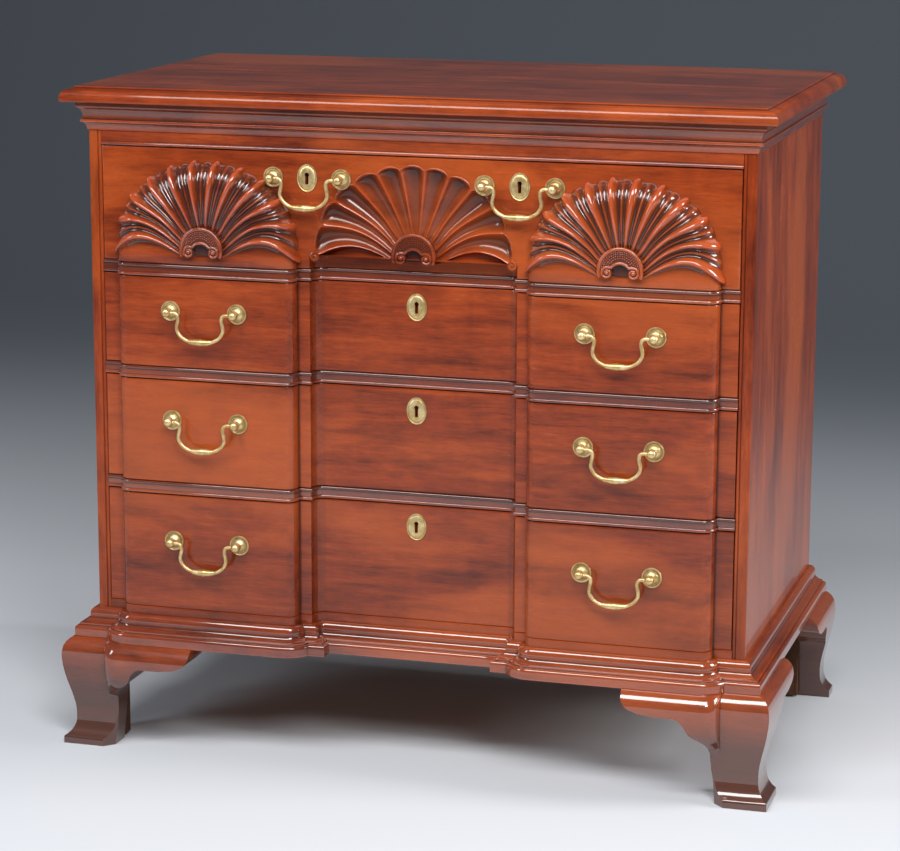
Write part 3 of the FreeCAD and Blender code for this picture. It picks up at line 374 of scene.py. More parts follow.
class Finish:
    """A material that is put together from nodes."""

    def __init__(self, name):
        self.material = bpy.data.materials.new(name)
        self.material.use_nodes = True
        self.tree = self.material.node_tree
        self.tree.nodes.clear()

    def node(self, kind, settings=None, inputs=None, output=0):
        """Adds a node: its settings first, then its sockets, and gives one of its outputs."""
        made = self.tree.nodes.new(kind)
        for name, value in (settings or {}).items():
            if name == "stops":
                self.stops(made.color_ramp, value)
            else:
                setattr(made, name, value)
        for name, value in (inputs or {}).items():
            if isinstance(value, Wire):
                self.tree.links.new(value.socket, made.inputs[name])
            else:
                made.inputs[name].default_value = value
        return None if output is None else Wire(self, made.outputs[output])

    def stops(self, ramp, stops):
        """Sets a ramp's stops from (position, colour) pairs."""
        while len(ramp.elements) > 1:
            ramp.elements.remove(ramp.elements[-1])
        for index, (position, colour) in enumerate(stops):
            element = ramp.elements[0] if index == 0 else ramp.elements.new(position)
            element.position = position
            element.color = (*colour, 1)

    def place(self):
        """Where a point is on the chest, in metres."""
        return self.node("ShaderNodeTexCoord", output="Object")

    def height(self, place):
        """How high a place is."""
        return self.node("ShaderNodeSeparateXYZ", None, {0: place}, output=2)

    def scaled(self, place, scale):
        """A place with each axis scaled, to draw a pattern out along the grain."""
        settings = {"operation": "MULTIPLY"}
        return self.node("ShaderNodeVectorMath", settings, {0: place, 1: scale})

    def noise(self, place, scale, detail=3.0, roughness=0.5, distortion=0.0):
        """Cloudy noise from 0 to 1."""
        inputs = {
            "Vector": place,
            "Scale": scale,
            "Detail": detail,
            "Roughness": roughness,
            "Distortion": distortion,
        }
        return self.node("ShaderNodeTexNoise", None, inputs)

    def ramp(self, value, low, high):
        """A smooth step from 0 to 1 between two values."""
        settings = {"interpolation_type": "SMOOTHSTEP"}
        inputs = {"Value": value, "From Min": low, "From Max": high}
        return self.node("ShaderNodeMapRange", settings, inputs)

    def mix(self, share, one, other, blend="MIX"):
        """Two colours mixed by a share."""
        settings = {"data_type": "RGBA", "blend_type": blend}
        return self.node("ShaderNodeMix", settings, {0: share, 6: one, 7: other}, output=2)

    def carved(self):
        """How much of a ridge and of a valley the surface is, from the skin."""
        colour = self.node("ShaderNodeAttribute", {"attribute_name": "carve"})
        parts = self.node("ShaderNodeSeparateColor", None, {0: colour})
        valley = Wire(self, parts.socket.node.outputs[1])
        return parts, valley

    def bump(self, height, distance, strength=1.0):
        """A normal bent by a height."""
        inputs = {"Height": height, "Distance": distance, "Strength": strength}
        return self.node("ShaderNodeBump", None, inputs)

    def surface(self, **sockets):
        """Ends the material in a surface with these sockets."""
        inputs = {}
        for name, value in sockets.items():
            inputs[name.replace("_", " ").title().replace("Ior", "IOR")] = value
        shader = self.node("ShaderNodeBsdfPrincipled", None, inputs)
        self.node("ShaderNodeOutputMaterial", None, {"Surface": shader}, output=None)
        return self.material


def colour(red, green, blue):
    """A colour as a socket's value."""
    return (red, green, blue, 1.0)


GRAIN_STRETCH = {"x": (1, 12, 12), "y": (12, 1, 12), "z": (12, 12, 1)}
CROSS_STRETCH = {"x": (5, 1, 1.4), "y": (1, 5, 1.4), "z": (1.4, 1, 5)}
SOFT_STRETCH = {"x": (1, 3.2, 3.2), "y": (3.2, 1, 3.2), "z": (3.2, 3.2, 1)}


def mahogany(name, along, glow=0.5, polish=0.6, depth=1.5):
    """Polished mahogany: soft streaks and short pores along the grain, a cloudy figure, rubbed ridges, painted shade
    towards the floor and painted shade in valleys.
    """
    finish = Finish(name)
    place = finish.place()
    grain = finish.scaled(place, GRAIN_STRETCH[along])
    cross = finish.scaled(place, CROSS_STRETCH[along])
    streaks = finish.noise(grain, 5.0, 4.0, 0.55, 0.6)
    fine = finish.noise(grain, 40.0, 3.0, 0.6, 0.3)
    pores = finish.noise(grain, 120.0, 2.0, 0.5)
    soft = finish.scaled(place, SOFT_STRETCH[along])
    cloud = finish.noise(soft, 4.6, 4.0, 0.60, 0.5)
    ripple = finish.noise(cross, 7.0, 3.0, 0.55, 0.5)
    slow = finish.noise(soft, 1.5, 2.0, 0.5, 0.3)
    mottle = finish.noise(soft, 21.0, 3.0, 0.65, 0.4)
    tone = streaks * 0.33 + fine * 0.18 + cloud * 0.27 + ripple * 0.08 + mottle * 0.14
    wood = finish.node(
        "ShaderNodeValToRGB",
        {
            "stops": [
                (0.37, (0.078, 0.0110, 0.0035)),
                (0.44, (0.150, 0.0210, 0.0050)),
                (0.51, (0.230, 0.0330, 0.0065)),
                (0.61, (0.335, 0.0540, 0.0090)),
            ]
        },
        {0: tone},
    )
    lit = finish.ramp(slow * 0.7 + cloud * 0.3, 0.46, 0.62) * glow
    warm = finish.mix(lit, wood, colour(0.46, 0.092, 0.018))
    height = finish.height(place)
    # Painted shade: the wood darkens towards the floor, strongly over the feet.
    low_shade = finish.ramp(height, 0.15, 0.06) * 0.68 + finish.ramp(height, 0.50, 0.15) * 0.15
    low_shaded = finish.mix(low_shade, warm, colour(0.060, 0.030, 0.022))
    pore = finish.ramp(pores, 0.60, 0.70) * 0.30
    dark = finish.mix(pore, low_shaded, colour(0.060, 0.012, 0.005))
    ridge, valley = finish.carved()
    rubbed = finish.mix(ridge * 0.75, dark, colour(0.50, 0.075, 0.018))
    # Painted shade in valleys, inner corners and gaps, from the carve colour's green.
    carved = finish.mix(valley * 0.93, rubbed, colour(0.040, 0.012, 0.008))
    rough = 0.17 + fine * 0.10 + cloud * 0.06
    return finish.surface(
        base_color=carved,
        roughness=rough,
        specular_ior_level=0.15,
        coat_weight=polish,
        coat_roughness=0.05,
        coat_ior=depth,
        normal=finish.bump(fine * 0.7 + pores * 0.3, 0.0001, 0.12),
    )


def secondary(name, along, pale, dark):
    """Unpolished inside wood with open grain."""
    finish = Finish(name)
    place = finish.place()
    grain = finish.scaled(place, GRAIN_STRETCH[along])
    streaks = finish.noise(grain, 6.0, 6.0, 0.65, 0.4)
    fine = finish.noise(grain, 60.0, 3.0, 0.6)
    stain = finish.noise(place, 5.0, 3.0, 0.6)
    tone = finish.ramp(streaks * 0.6 + fine * 0.4, 0.38, 0.62)
    wood = finish.mix(tone, dark, pale)
    aged = finish.mix(finish.ramp(stain, 0.5, 0.75) * 0.35, wood, colour(0.16, 0.085, 0.04))
    return finish.surface(
        base_color=aged,
        roughness=0.66 + fine * 0.2,
        specular_ior_level=0.25,
        normal=finish.bump(streaks + fine, 0.0004, 0.4),
    )


def old_brass(name):
    """Soft gold brass, darker where it is not rubbed."""
    finish = Finish(name)
    place = finish.place()
    cloud = finish.noise(place, 120.0, 4.0, 0.6)
    specks = finish.noise(place, 700.0, 2.0, 0.5)
    ridge, valley = finish.carved()
    rubbed = finish.mix(finish.ramp(cloud, 0.35, 0.7), colour(0.60, 0.41, 0.16), colour(0.88, 0.69, 0.36))
    tarnished = finish.mix(valley * 0.8, rubbed, colour(0.26, 0.18, 0.08))
    spotted = finish.mix(finish.ramp(specks, 0.62, 0.75) * 0.4, tarnished, colour(0.30, 0.21, 0.10))
    return finish.surface(
        base_color=spotted,
        metallic=0.88,
        roughness=0.30 + cloud * 0.18,
        normal=finish.bump(specks, 0.0001, 0.25),
    )


def lock_iron(name):
    """Dull iron with a brown bloom."""
    finish = Finish(name)
    place = finish.place()
    cloud = finish.noise(place, 60.0, 5.0, 0.65)
    grain = finish.noise(place, 900.0, 2.0, 0.5)
    bloom = finish.ramp(cloud, 0.45, 0.7)
    return finish.surface(
        base_color=finish.mix(bloom, colour(0.11, 0.105, 0.10), colour(0.17, 0.085, 0.045)),
        metallic=0.85 - bloom * 0.5,
        roughness=0.45 + bloom * 0.3,
        normal=finish.bump(grain + cloud, 0.0003, 0.3),
    )


WOOD_X = mahogany("mahogany_lengthwise", "x")
WOOD_Z = mahogany("mahogany_upright", "z", 0.6, 0.35, 1.5)
WOOD_TOP = mahogany("mahogany_top", "x", 0.5, 0.55, 1.5)
MOULDED_X = mahogany("moulded_mahogany_lengthwise", "x", 0.5, 1.0, 1.75)
MOULDED_Y = mahogany("moulded_mahogany_across", "y", 0.5, 1.0, 1.75)
POPLAR = secondary("poplar", "y", colour(0.46, 0.240, 0.100), colour(0.32, 0.145, 0.052))
POPLAR_X = secondary("poplar_lengthwise", "x", colour(0.44, 0.225, 0.094), colour(0.30, 0.135, 0.049))
CHESTNUT = secondary("chestnut", "x", colour(0.35, 0.155, 0.062), colour(0.185, 0.070, 0.025))
# Very dark pine for the foot glue blocks, its darkness painted shade under the case.
SHADE_DARK_PINE = secondary("shade_darkened_pine", "z", colour(0.12, 0.052, 0.025), colour(0.055, 0.022, 0.010))
BRASS = old_brass("old_brass")
IRON = lock_iron("lock_iron")


# Case

TOP_PROFILE = [(27, TOP_UNDER), (28.4, TOP_UNDER + 0.8), (29, TOP_UNDER + 2.5), (29, 865.5)]
TOP_PROFILE += [(14.5 + 14.5 * math.cos(t * math.pi / 16), 865.5 + 12 * math.sin(t * math.pi / 16)) for t in range(1, 9)]
TOP_PROFILE += [(13.5, 877.6), (13.5, 879.3), (12.8, TOP)]

COVE_PROFILE = [(1.5, 823), (1.7, 826), (3.2, 830), (5.6, 832.6), (8.0, 833.4), (8.3, 834.2)]
COVE_PROFILE += [(8.3, 835.8), (8.0, 836.5), (5.6, 836.8), (5.5, 839.5), (5.9, 843.5)]
COVE_PROFILE += [(7.2, 847.5), (9.3, 850.6), (12.6, 852.8), (13, 853.4), (13, TOP_UNDER)]

BASE_PROFILE = [(25, 147), (25.5, 147.6), (25.5, 156.6)]
BASE_PROFILE += [(20.5 + 5 * math.cos(t * math.pi / 12), 157 + 5 * math.sin(t * math.pi / 12)) for t in range(1, 7)]
BASE_PROFILE += [(20.5, 164)]
BASE_PROFILE += [(20.5 - 13 * math.sin(t * math.pi / 16), 177 - 13 * math.cos(t * math.pi / 16)) for t in range(1, 6)]
BASE_PROFILE += [(9.2, 173.6), (9.5, 174.3)]
BASE_PROFILE += [(2 + 7.5 * math.cos(t * math.pi / 16), 174.7 + 9.3 * math.sin(t * math.pi / 16)) for t in range(0, 9)]


def make_top():
    """Top board, moulded on its front and sides."""
    piece = Piece()
    rows = []
    for out, level, ridge, valley in rubbed_and_shaded(TOP_PROFILE):
        wide = HALF + out
        plan = [(-wide, FRONT - out), (wide, FRONT - out), (wide, TOP_BACK), (-wide, TOP_BACK)]
        rows.append([(x, y, level, ridge, valley) for x, y in plan])
    piece.loft(rows, ring=True, caps=True)
    make(piece, "moulded_top", [WOOD_TOP], "case", ["top_board"])


def make_mouldings():
    """Cove moulding under the top and blocked base moulding."""
    piece = Piece()
    case_moulding(piece, COVE_PROFILE, False)
    make(piece, "cove_under_top", [MOULDED_X, MOULDED_Y], "case", ["cove_moulding"], mitred=True)
    piece = Piece()
    case_moulding(piece, BASE_PROFILE, True)
    make(piece, "blocked_base", [MOULDED_X, MOULDED_Y], "case", ["base_moulding"], mitred=True)


def make_sides():
    """Case sides, each with a bead along its front edge beside the drawers."""
    bead, quirk = 4.6, 0.9
    for name, sign in SIDES.items():
        piece = Piece()
        plan = [(OPENING, BACK), (OPENING, FRONT + bead / 2)]
        plan += arc(OPENING + bead / 2, FRONT + bead / 2, bead / 2, 180, 350, 10)
        plan += [(OPENING + bead, FRONT + quirk * 2), (OPENING + bead + quirk, FRONT + quirk * 2)]
        plan += [(OPENING + bead + quirk, FRONT), (HALF - 1, FRONT), (HALF - 0.3, FRONT + 0.3)]
        plan += [(HALF, FRONT + 1), (HALF, FRONT + 4), (HALF, BACK - 1), (HALF - 1, BACK)]
        rows = [[(sign * x, y, level) for x, y in plan] for level in (FOOT_TOP, TOP_UNDER)]
        piece.loft(rows, ring=True, caps=True)
        make(piece, f"{name}_side_board", [WOOD_Z], "case", [f"case_side_{name}"])


def bead(level, thick=4.5, reach=2.5, root=0.6):
    """Reach and level of a half round bead that starts at a level."""
    half = thick / 2
    turns = [math.radians(angle) for angle in range(-90, 91, 22)]
    return [(root + (reach - root) * math.cos(t), level + half + half * math.sin(t)) for t in turns]


def cut_mortises(item, number):
    """Cuts the mortises for the lock bolts of the drawer below into a rail."""
    cutter = Piece()
    for name in ("_left", "_right") if number == 1 else ("",):
        low, high = corners(f"lock_bolt_{number}{name}")
        cutter.board(low - Vector((0.4, 0.4, 6)), high + Vector((0.4, 0.4, 9)), 0.01)
    cut(item, cutter)


def make_back():
    """Three back boards with chamfered edges, nailed to the sides, the top rail and the bottom."""
    low, high = corners("back_boards")
    piece = Piece()
    step = (high.z - low.z) / 3
    for k in range(3):
        level = low.z + step * k
        piece.board((low.x, low.y, level + 0.6), (high.x, high.y, level + step - 0.6), 2.2)
    piece.finish = 1
    inset = 9
    for side in (-1, 1):
        for k in range(9):
            nail(piece, side * (high.x - inset), high.y, low.z + step * (k + 0.5) / 3)
        for k in range(2):
            for level in (low.z + inset, high.z - inset):
                nail(piece, side * high.x * (k + 0.5) / 2.5, high.y, level)
    make(piece, "nailed_back", [CHESTNUT, IRON], "case", ["back_boards"])


def nail(piece, x, plane, z):
    """A hammered nail head on a back board."""
    rows = []
    for radius, reach in ((3.4, -0.6), (3.2, 0.5), (1.9, 1.1), (0.4, 1.3)):
        turns = [k * math.pi / 4 + x for k in range(8)]
        rows.append([(x + radius * math.cos(t), plane + reach, z + radius * math.sin(t)) for t in turns])
    piece.loft(rows, ring=True, caps=True)


def make_rails():
    """Top rail, three beaded dividers and the bottom rail."""
    low, high = corners("top_rail")
    piece = Piece()
    edge = [(0.0, low.z)] + bead(low.z) + [(0.0, low.z + 4.6), (0.0, high.z)]
    rows = []
    for x in (low.x, high.x):
        row = [(x, FRONT - out, level, ridge, valley) for out, level, ridge, valley in rubbed_and_shaded(edge)]
        rows.append(row + [(x, high.y, high.z), (x, high.y, low.z)])
    piece.loft(rows, ring=True, caps=True)
    item = make(piece, "top_front_rail", [MOULDED_X], "case", ["top_rail"])
    cut_mortises(item, 1)
    for number in (1, 2, 3):
        low, high = corners(f"drawer_divider_{number}")
        piece = Piece()
        profile = bead(low.z) + bead(high.z - 4.5)
        # Painted shadow at the gaps beside the drawers, and painted shade that deepens towards the divider's top.
        blocked_board(piece, profile, OPENING, high.y, 1.0, (0.1, 0.85))
        item = make(piece, f"beaded_divider_{number}", [MOULDED_X], "case", [f"drawer_divider_{number}"])
        cut_mortises(item, number + 1)
    low, high = corners("bottom_rail")
    piece = Piece()
    blocked_board(piece, [(0, low.z), (0, high.z - 1), (-0.3, high.z - 0.3), (-1, high.z)], OPENING, high.y)
    make(piece, "blocked_bottom_rail", [WOOD_X], "case", ["bottom_rail"])


# Feet: reach of the ogee face from the case's face, by level

OGEE = [(39, 0), (39, 8.6), (38.4, 10), (34.5, 12.8), (31, 16.5), (28.2, 21), (26.3, 26), (25.5, 31), (25.4, 42)]
OGEE += [(26.3, 52), (28.4, 63), (31.6, 76), (34.2, 86), (36.4, 96), (38.4, 108), (39.3, 117), (39.5, 122)]
OGEE += [(39.1, 129), (37.4, 136), (34.4, 141), (30.6, 144.8), (26.5, 147)]
BLOCK_ARC = (5.7, 120, 53.8)
PAD_LINE = 23
SAWN = [(30, 0), (31, 12), (33, 30), (35, 45), (35.8, 55), (36.6, 67.5), (38.4, 76), (41, 82), (44.5, 85.6), (48, 87.7)]
SAWN += [(55, 91.5), (59.5, 95), (61, 97), (62.6, 101), (65, 105.2), (68, 110), (71.5, 113.7), (76, 116.3), (81, 117.2)]
SAWN += [(107, 117.6), (124, 119.8), (132, 122.2), (138, 124.7), (142, 127.6), (144.5, 131), (147, 137), (148, 147)]


def between(table, level):
    """A value read off a table of (value, level) pairs."""
    for (low, below), (high, above) in zip(table, table[1:]):
        if level <= above:
            return low + (high - low) * (level - below) / (above - below)
    return table[-1][0]


def block_extra(level):
    """How much further a foot's block stands out than its ogee, at a level."""
    centre, middle, radius = BLOCK_ARC
    if level < 70:
        return 0
    if level > middle:
        return RISE
    reach = centre + math.sqrt(max(radius**2 - (level - middle) ** 2, 0))
    return max(reach - between(OGEE, level), 0)


def foot_levels():
    """Every level at which a foot's face or its sawn shape turns."""
    levels = {level for _, level in OGEE} | {level for _, level in SAWN}
    return sorted(levels)


def block_round(inward, level):
    """The block's own rise at a distance in from the corner, with its rounded side."""
    share = min(max((inward - PAD_LINE) / RISE, 0), 1)
    return block_extra(level) * math.sqrt(1 - (1 - share) ** 2)


PAD_STEPS = [-5, 4, 12, 19, 22, PAD_LINE, 23.3, 24, 25.5, 28, 31, 35, 39, 43, 52, 64, 80, 100, 120, 134, 148]


def front_face(level):
    """Outer line of a front foot at a level: (distance in from the corner, reach)."""
    ogee, sawn = between(OGEE, level), between(SAWN, level)
    cant = 17 + OGEE[0][0] - ogee if level < 42 else sawn
    end = min(cant, sawn)
    points = [(-ogee, ogee)]
    for inward in PAD_STEPS:
        inward = min(inward, end)
        points.append((inward, ogee + block_round(inward, level)))
    points.append((sawn, ogee - (sawn - end) if level < 42 else points[-1][1]))
    return points


def make_front_foot(name, sign):
    """A front foot: a blocked ogee bracket mitred to a plain ogee bracket."""
    inner = 5
    piece = Piece()
    rows = []
    for level in foot_levels():
        ogee, sawn = between(OGEE, level), between(SAWN, level)
        row = []
        for inward, reach in reversed(front_face(level)):
            # Painted shade in the crease where the block rises from the corner pad.
            crease_shade = 0.9 if inward == PAD_LINE and block_extra(level) > 2 else 0
            row.append((HALF - inward, FRONT - reach, crease_shade))
        row += [(HALF + ogee, FRONT + share * sawn, 0) for share in (0.0, 0.3, 0.6, 1.0)]
        row += [(HALF - inner, FRONT + sawn, 0), (HALF - inner, FRONT + inner, 0), (HALF - sawn, FRONT + inner, 0)]
        rows.append([(sign * x, y, level, 0, crease_shade) for x, y, crease_shade in row])
    piece.loft(rows, ring=True, caps=True)
    make(piece, f"ogee_foot_front_{name}", [MOULDED_X, MOULDED_Y], "case", [f"front_{name}_foot"], mitred=True)


def make_rear_foot(name, sign):
    """A rear foot: an ogee bracket along the side and a plain sloped board behind."""
    inner = 5
    piece = Piece()
    rows = []
    for level in foot_levels():
        ogee, sawn = between(OGEE, level), between(SAWN, level)
        row = [(HALF + ogee, BACK - share * sawn) for share in (0.0, 0.3, 0.6, 1.0)]
        row += [(HALF - inner, BACK - sawn), (HALF - inner, BACK)]
        rows.append([(sign * x, y, level) for x, y in row])
    piece.loft(rows, ring=True, caps=True)
    slope = [(HALF - inner, 147), (HALF - 148, 147), (HALF - 148, 117), (HALF - 76, 70), (HALF - 76, 0), (HALF - inner, 0)]
    rows = [[(sign * x, y, level) for x, level in slope] for y in (BACK - 20, BACK)]
    piece.loft(rows, ring=True, caps=True)
    make(piece, f"ogee_foot_rear_{name}", [MOULDED_X, MOULDED_Y], "case", [f"rear_{name}_foot"], mitred=True)


# Shells

HUB = 29
HUB_LEVEL = 676
FADE = 40
RIBS = 12
RIB_ANGLE = math.pi / (RIBS - 1)
LOBE, REED, SKIRT = 0.20, 0.44, 0.34
BLOCK_FACE = RISE + 0.3


@dataclass
class Fan:
    """The fan of a shell, whose lowest rays arch up from the hub and droop to their tips."""

    half: float
    high: float
    foot: float
    crown: float
    crown_at: float
    tip: float

    def arch(self, x):
        """Level of the lowest ray at a distance from the hub's middle."""
        x = abs(x)
        if x < self.crown_at:
            share = max(x - HUB, 0) / (self.crown_at - HUB)
            return self.foot + (self.crown - self.foot) * math.sin(math.pi / 2 * share)
        share = (x - self.crown_at) / (self.half - self.crown_at)
        return self.crown + (self.tip - self.crown) * share**2

    def rim(self, angle):
        """Reach of the rim along a ray."""
        return self.half + (self.high - self.half) * math.sin(angle) ** 2

    def place(self, angle, reach):
        """Where a point of a ray lies, from the hub's middle."""
        x, up = reach * math.cos(angle), reach * math.sin(angle)
        return x, up + self.arch(x) * math.exp(-((up / FADE) ** 2))


RAISED = Fan(half=124, high=111, foot=-8, crown=15, crown_at=84, tip=-8)
SUNK = Fan(half=130, high=113, foot=-10, crown=9, crown_at=86, tip=-6)


def rib_section(turn):
    """Height across the ribs of a raised shell, and how far its rim stands out there."""
    off = abs(turn - round(turn))
    if off < LOBE:
        share = off / LOBE
        return math.cos(math.pi / 2 * share) ** 0.9, 5.0 * (1 - share**2) - 1.8
    bump = 2.2 * math.sin(math.pi / 2 * (off - LOBE) / (0.5 - LOBE)) - 1.8
    if off < REED:
        share = (off - LOBE) / (REED - LOBE)
        return -0.8 * math.sin(math.pi * share) ** 0.8 - 0.45 * share, bump
    return -0.15 - 0.3 * ((0.5 - off) / (0.5 - REED)) ** 2, bump


def dome(share):
    """Height of a raised shell from its hub to its rim, and how far it has fallen there."""
    rise = 0.74 + 0.26 * math.sin(math.pi / 2 * min(share / 0.55, 1))
    fall = math.sqrt(max(1 - max((share - 0.55) / 0.45, 0) ** 2.6, 0))
    return rise * fall, fall


def raised_point(turn, share):
    """A point of a raised shell: across and up from the hub's middle, its rise, its rubbed wear and its painted shade.
    """
    section, scallop = rib_section(turn)
    rim = RAISED.rim(turn * RIB_ANGLE) + scallop * share**4
    reach = HUB - 3 + (rim - HUB + 3) * share
    high, fall = dome(share)
    relief = 27 * high + section * (0.058 if section > 0 else 0.044) * reach * fall**0.5
    skirt = max(-turn, turn - RIBS + 1) - 0.18
    if skirt > 0 and relief > BLOCK_FACE:
        relief += (BLOCK_FACE - relief) * math.sin(math.pi / 2 * skirt / (SKIRT - 0.18))
    ridge = max(section - 0.6, 0) * 2.2 * min(share * 3, 1)
    # Painted shade down the flutes, weaker where the rim falls away.
    valley = min(max(-section, 0) * 1.2, 1) * (0.5 + 0.5 * fall)
    x, up = RAISED.place(turn * RIB_ANGLE, reach)
    return x, max(relief, 0), up, ridge, valley


def raised_fan(piece, cx):
    """A convex shell of ribs and flutes, closed behind the drawer's face."""
    across, out = round((RIBS - 1 + 2 * SKIRT) * 26), 44
    rows = []
    for i in range(out + 1):
        share = math.sin(math.pi / 2 * i / out)
        row = []
        for j in range(across + 1):
            turn = (RIBS - 1 + 2 * SKIRT) * j / across - SKIRT
            x, relief, up, ridge, valley = raised_point(turn, share)
            row.append((cx + x, FRONT - relief, HUB_LEVEL + up, ridge, valley))
        rows.append(row)
    # The fan's middle, hidden under the hub, is in full painted shade.
    middle = (cx, FRONT - BLOCK_FACE, HUB_LEVEL, 0, 1)
    rows.insert(0, [middle] * (across + 1))
    piece.loft(rows)
    piece.thicken(FRONT + 0.5)


def sunk_section(turn):
    """Share of a flute's depth across the sunk shell, and how far its rim stands out there."""
    off = abs(turn - math.floor(turn) - 0.5) * 2
    return max(1 - (off / 0.93) ** 2, 0), 9.5 * math.sqrt(1 - 0.96 * off**2) - 5.0


def sunk_depth(share, hollow, reach):
    """Depth of the sunk shell below the drawer's face: crests, scooped flutes and a raised lip."""
    crest = 15 * (1 - share**1.5)
    end = math.sqrt(max(1 - max((share - 0.83) / 0.14, 0) ** 2.4, 0))
    lip = math.sin(math.pi * min(max((share - 0.97) / 0.03, 0), 1))
    return crest + 0.088 * reach * hollow * end - 1.1 * lip


def sunk_shares():
    """Steps from the hub to the rim, close together where the flutes end."""
    steps = [0.83 * i / 22 for i in range(23)] + [0.83 + 0.14 * i / 14 for i in range(1, 15)]
    return steps + [0.97 + 0.03 * i / 8 for i in range(1, 9)]


def sunk_ray(angle, shares):
    """Points of the sunk shell along one ray."""
    hollow, scallop = sunk_section(angle / RIB_ANGLE)
    ray = []
    for share in shares:
        rim = SUNK.rim(angle) + scallop * share**4
        reach = (HUB - 3) + (rim - HUB + 3) * share
        x, up = SUNK.place(angle, reach)
        ridge = max(1 - hollow * 6, 0) * min(share * 2, 1) * 0.8
        # Painted shade in the flutes, deepening towards the rim that overhangs them.
        valley = hollow * (0.35 + 0.60 * share**1.5) if share < 0.97 else 0
        ray.append((x, FRONT + sunk_depth(share, hollow, reach), HUB_LEVEL + up, ridge, valley))
    return ray


def recess_depth(x):
    """Depth of the recess with its hollow corners."""
    flat = RECESS_EDGE - ROUND
    over = min(max(abs(x) - flat, 0), ROUND)
    return RECESS - ROUND + math.sqrt(ROUND**2 - over**2)


def sunk_shell(piece, low):
    """The sunk shell and the recess below it, which run back through the drawer front."""
    count = (RIBS - 1) * 20
    rays = [sunk_ray(math.pi * j / count, sunk_shares()) for j in range(count + 1)]
    # The middle, hidden under the hub, is in full painted shade.
    middle = (0, FRONT + 16, HUB_LEVEL, 0, 1)
    piece.loft([[middle] + ray for ray in rays])
    for sign, ray in ((1, rays[0]), (-1, rays[-1])):
        arch = [(sign * 0.0, FRONT + 16, HUB_LEVEL)] + [place[:3] for place in ray]
        cove, foot = [], []
        for x, y, z in arch:
            back = FRONT + recess_depth(x)
            drop = 0.45 * (back - y)
            # Painted shade along the underside of the arch.
            cove.append((x, y + 0.72 * (back - y), z - 0.40 * drop, 0, 0.5))
            foot.append((x, back, z - drop))
        for x in (128.5, 131, 133.5, 135.5, 136.7, RECESS_EDGE - TINY):
            foot.append((sign * x, FRONT + recess_depth(x), arch[-1][2]))
        foot.append((sign * RECESS_EDGE, FRONT, arch[-1][2]))
        piece.loft([arch, cove, foot[: len(arch)]])
        piece.loft([[(x, y, z + (low - z) * step / 3) for x, y, z in foot] for step in range(4)])
    piece.thicken(BOX_FRONT)


def notch():
    """Outline of the place that the sunk shell takes in the drawer front, from left to right."""
    count = (RIBS - 1) * 20
    rim = [sunk_ray(math.pi * (1 - j / count), [1.0])[0] for j in range(count + 1)]
    level = rim[0][2]
    return [(-RECESS_EDGE, level)] + [(place[0], place[2]) for place in rim] + [(RECESS_EDGE, level)]


def spiral(centre, plane, start, turn, radius, inner, steps):
    """A flat spiral about a centre, in front of a plane."""
    points = []
    for i in range(steps + 1):
        share = i / steps
        angle = math.radians(start + turn * share)
        reach = radius + (inner - radius) * share
        points.append((centre[0] + reach * math.cos(angle), plane, centre[1] + reach * math.sin(angle)))
    return points


def slab(piece, outline, centre, front, back, valley=0.0):
    """A flat piece with an upright outline, given from its centre, with as much painted shade as its valley says."""
    rows = []
    for depth in (front, back):
        rows.append([(centre[0] + x, depth, centre[1] + z, 0, valley) for x, z in outline])
    piece.loft(rows, ring=True, caps=True)


EYE = [(0.01, 3.4), (1.3, 3.2), (2.4, 2.4), (2.9, 0), (2.9, -5)]
VOLUTE_X, VOLUTE_Z = 16.6, -3.2


def hub(piece, cx, plane):
    """A shell's hub: a stippled half ring in a bead, round a scroll with two eyes, its grounds painted in shade."""
    face = plane - 8
    ring = arc(0, 0, 26.8, -17, 197, 48) + arc(0, 0, 11, 205, -25, 30)
    # The stippled ground is painted in shade, and the hollow floor under the scroll in full painted shade.
    slab(piece, ring, (cx, HUB_LEVEL), face, plane + 8, 0.85)
    slab(piece, arc(0, 0, 11.5, -42, 222, 24), (cx, HUB_LEVEL), face + 5.5, plane + 8, 1.0)
    bead_line = [(cx + x, face + 0.4, HUB_LEVEL + z) for x, z in arc(0, 0, 27.2, -19, 199, 60)]
    piece.tube(bead_line, [2.4] * len(bead_line), 10)
    right = spiral((cx + VOLUTE_X, HUB_LEVEL + VOLUTE_Z), face - 0.3, 112, -480, 7.5, 2.4, 44)
    left = spiral((cx - VOLUTE_X, HUB_LEVEL + VOLUTE_Z), face - 0.3, 68, 480, 7.5, 2.4, 44)
    over = [(cx - x, face - 0.3, HUB_LEVEL + z) for x, z in arc(0, -4.2, 13.6, 36, 144, 14)]
    path = left[::-1] + over + right
    middle = (len(path) - 1) / 2
    piece.tube(path, [1.9 - 0.8 * abs(i / middle - 1) ** 2 for i in range(len(path))], 9)
    for side in (-1, 1):
        outline = arc(side * VOLUTE_X, VOLUTE_Z, 7.0, 0, 345, 23)
        # The ground behind each eye is painted in shade.
        slab(piece, outline, (cx, HUB_LEVEL), face + 1.2, plane + 8, 0.9)
        piece.turning(EYE, (cx + side * VOLUTE_X, face + 1, HUB_LEVEL + VOLUTE_Z), 14)
    for radius, number in ((15.6, 17), (18.4, 21), (21.1, 25), (23.6, 29)):
        for k in range(number):
            angle = math.radians(-6 + 192 * (k + 0.5) / number)
            stud(piece, cx + radius * math.cos(angle), face, HUB_LEVEL + radius * math.sin(angle))


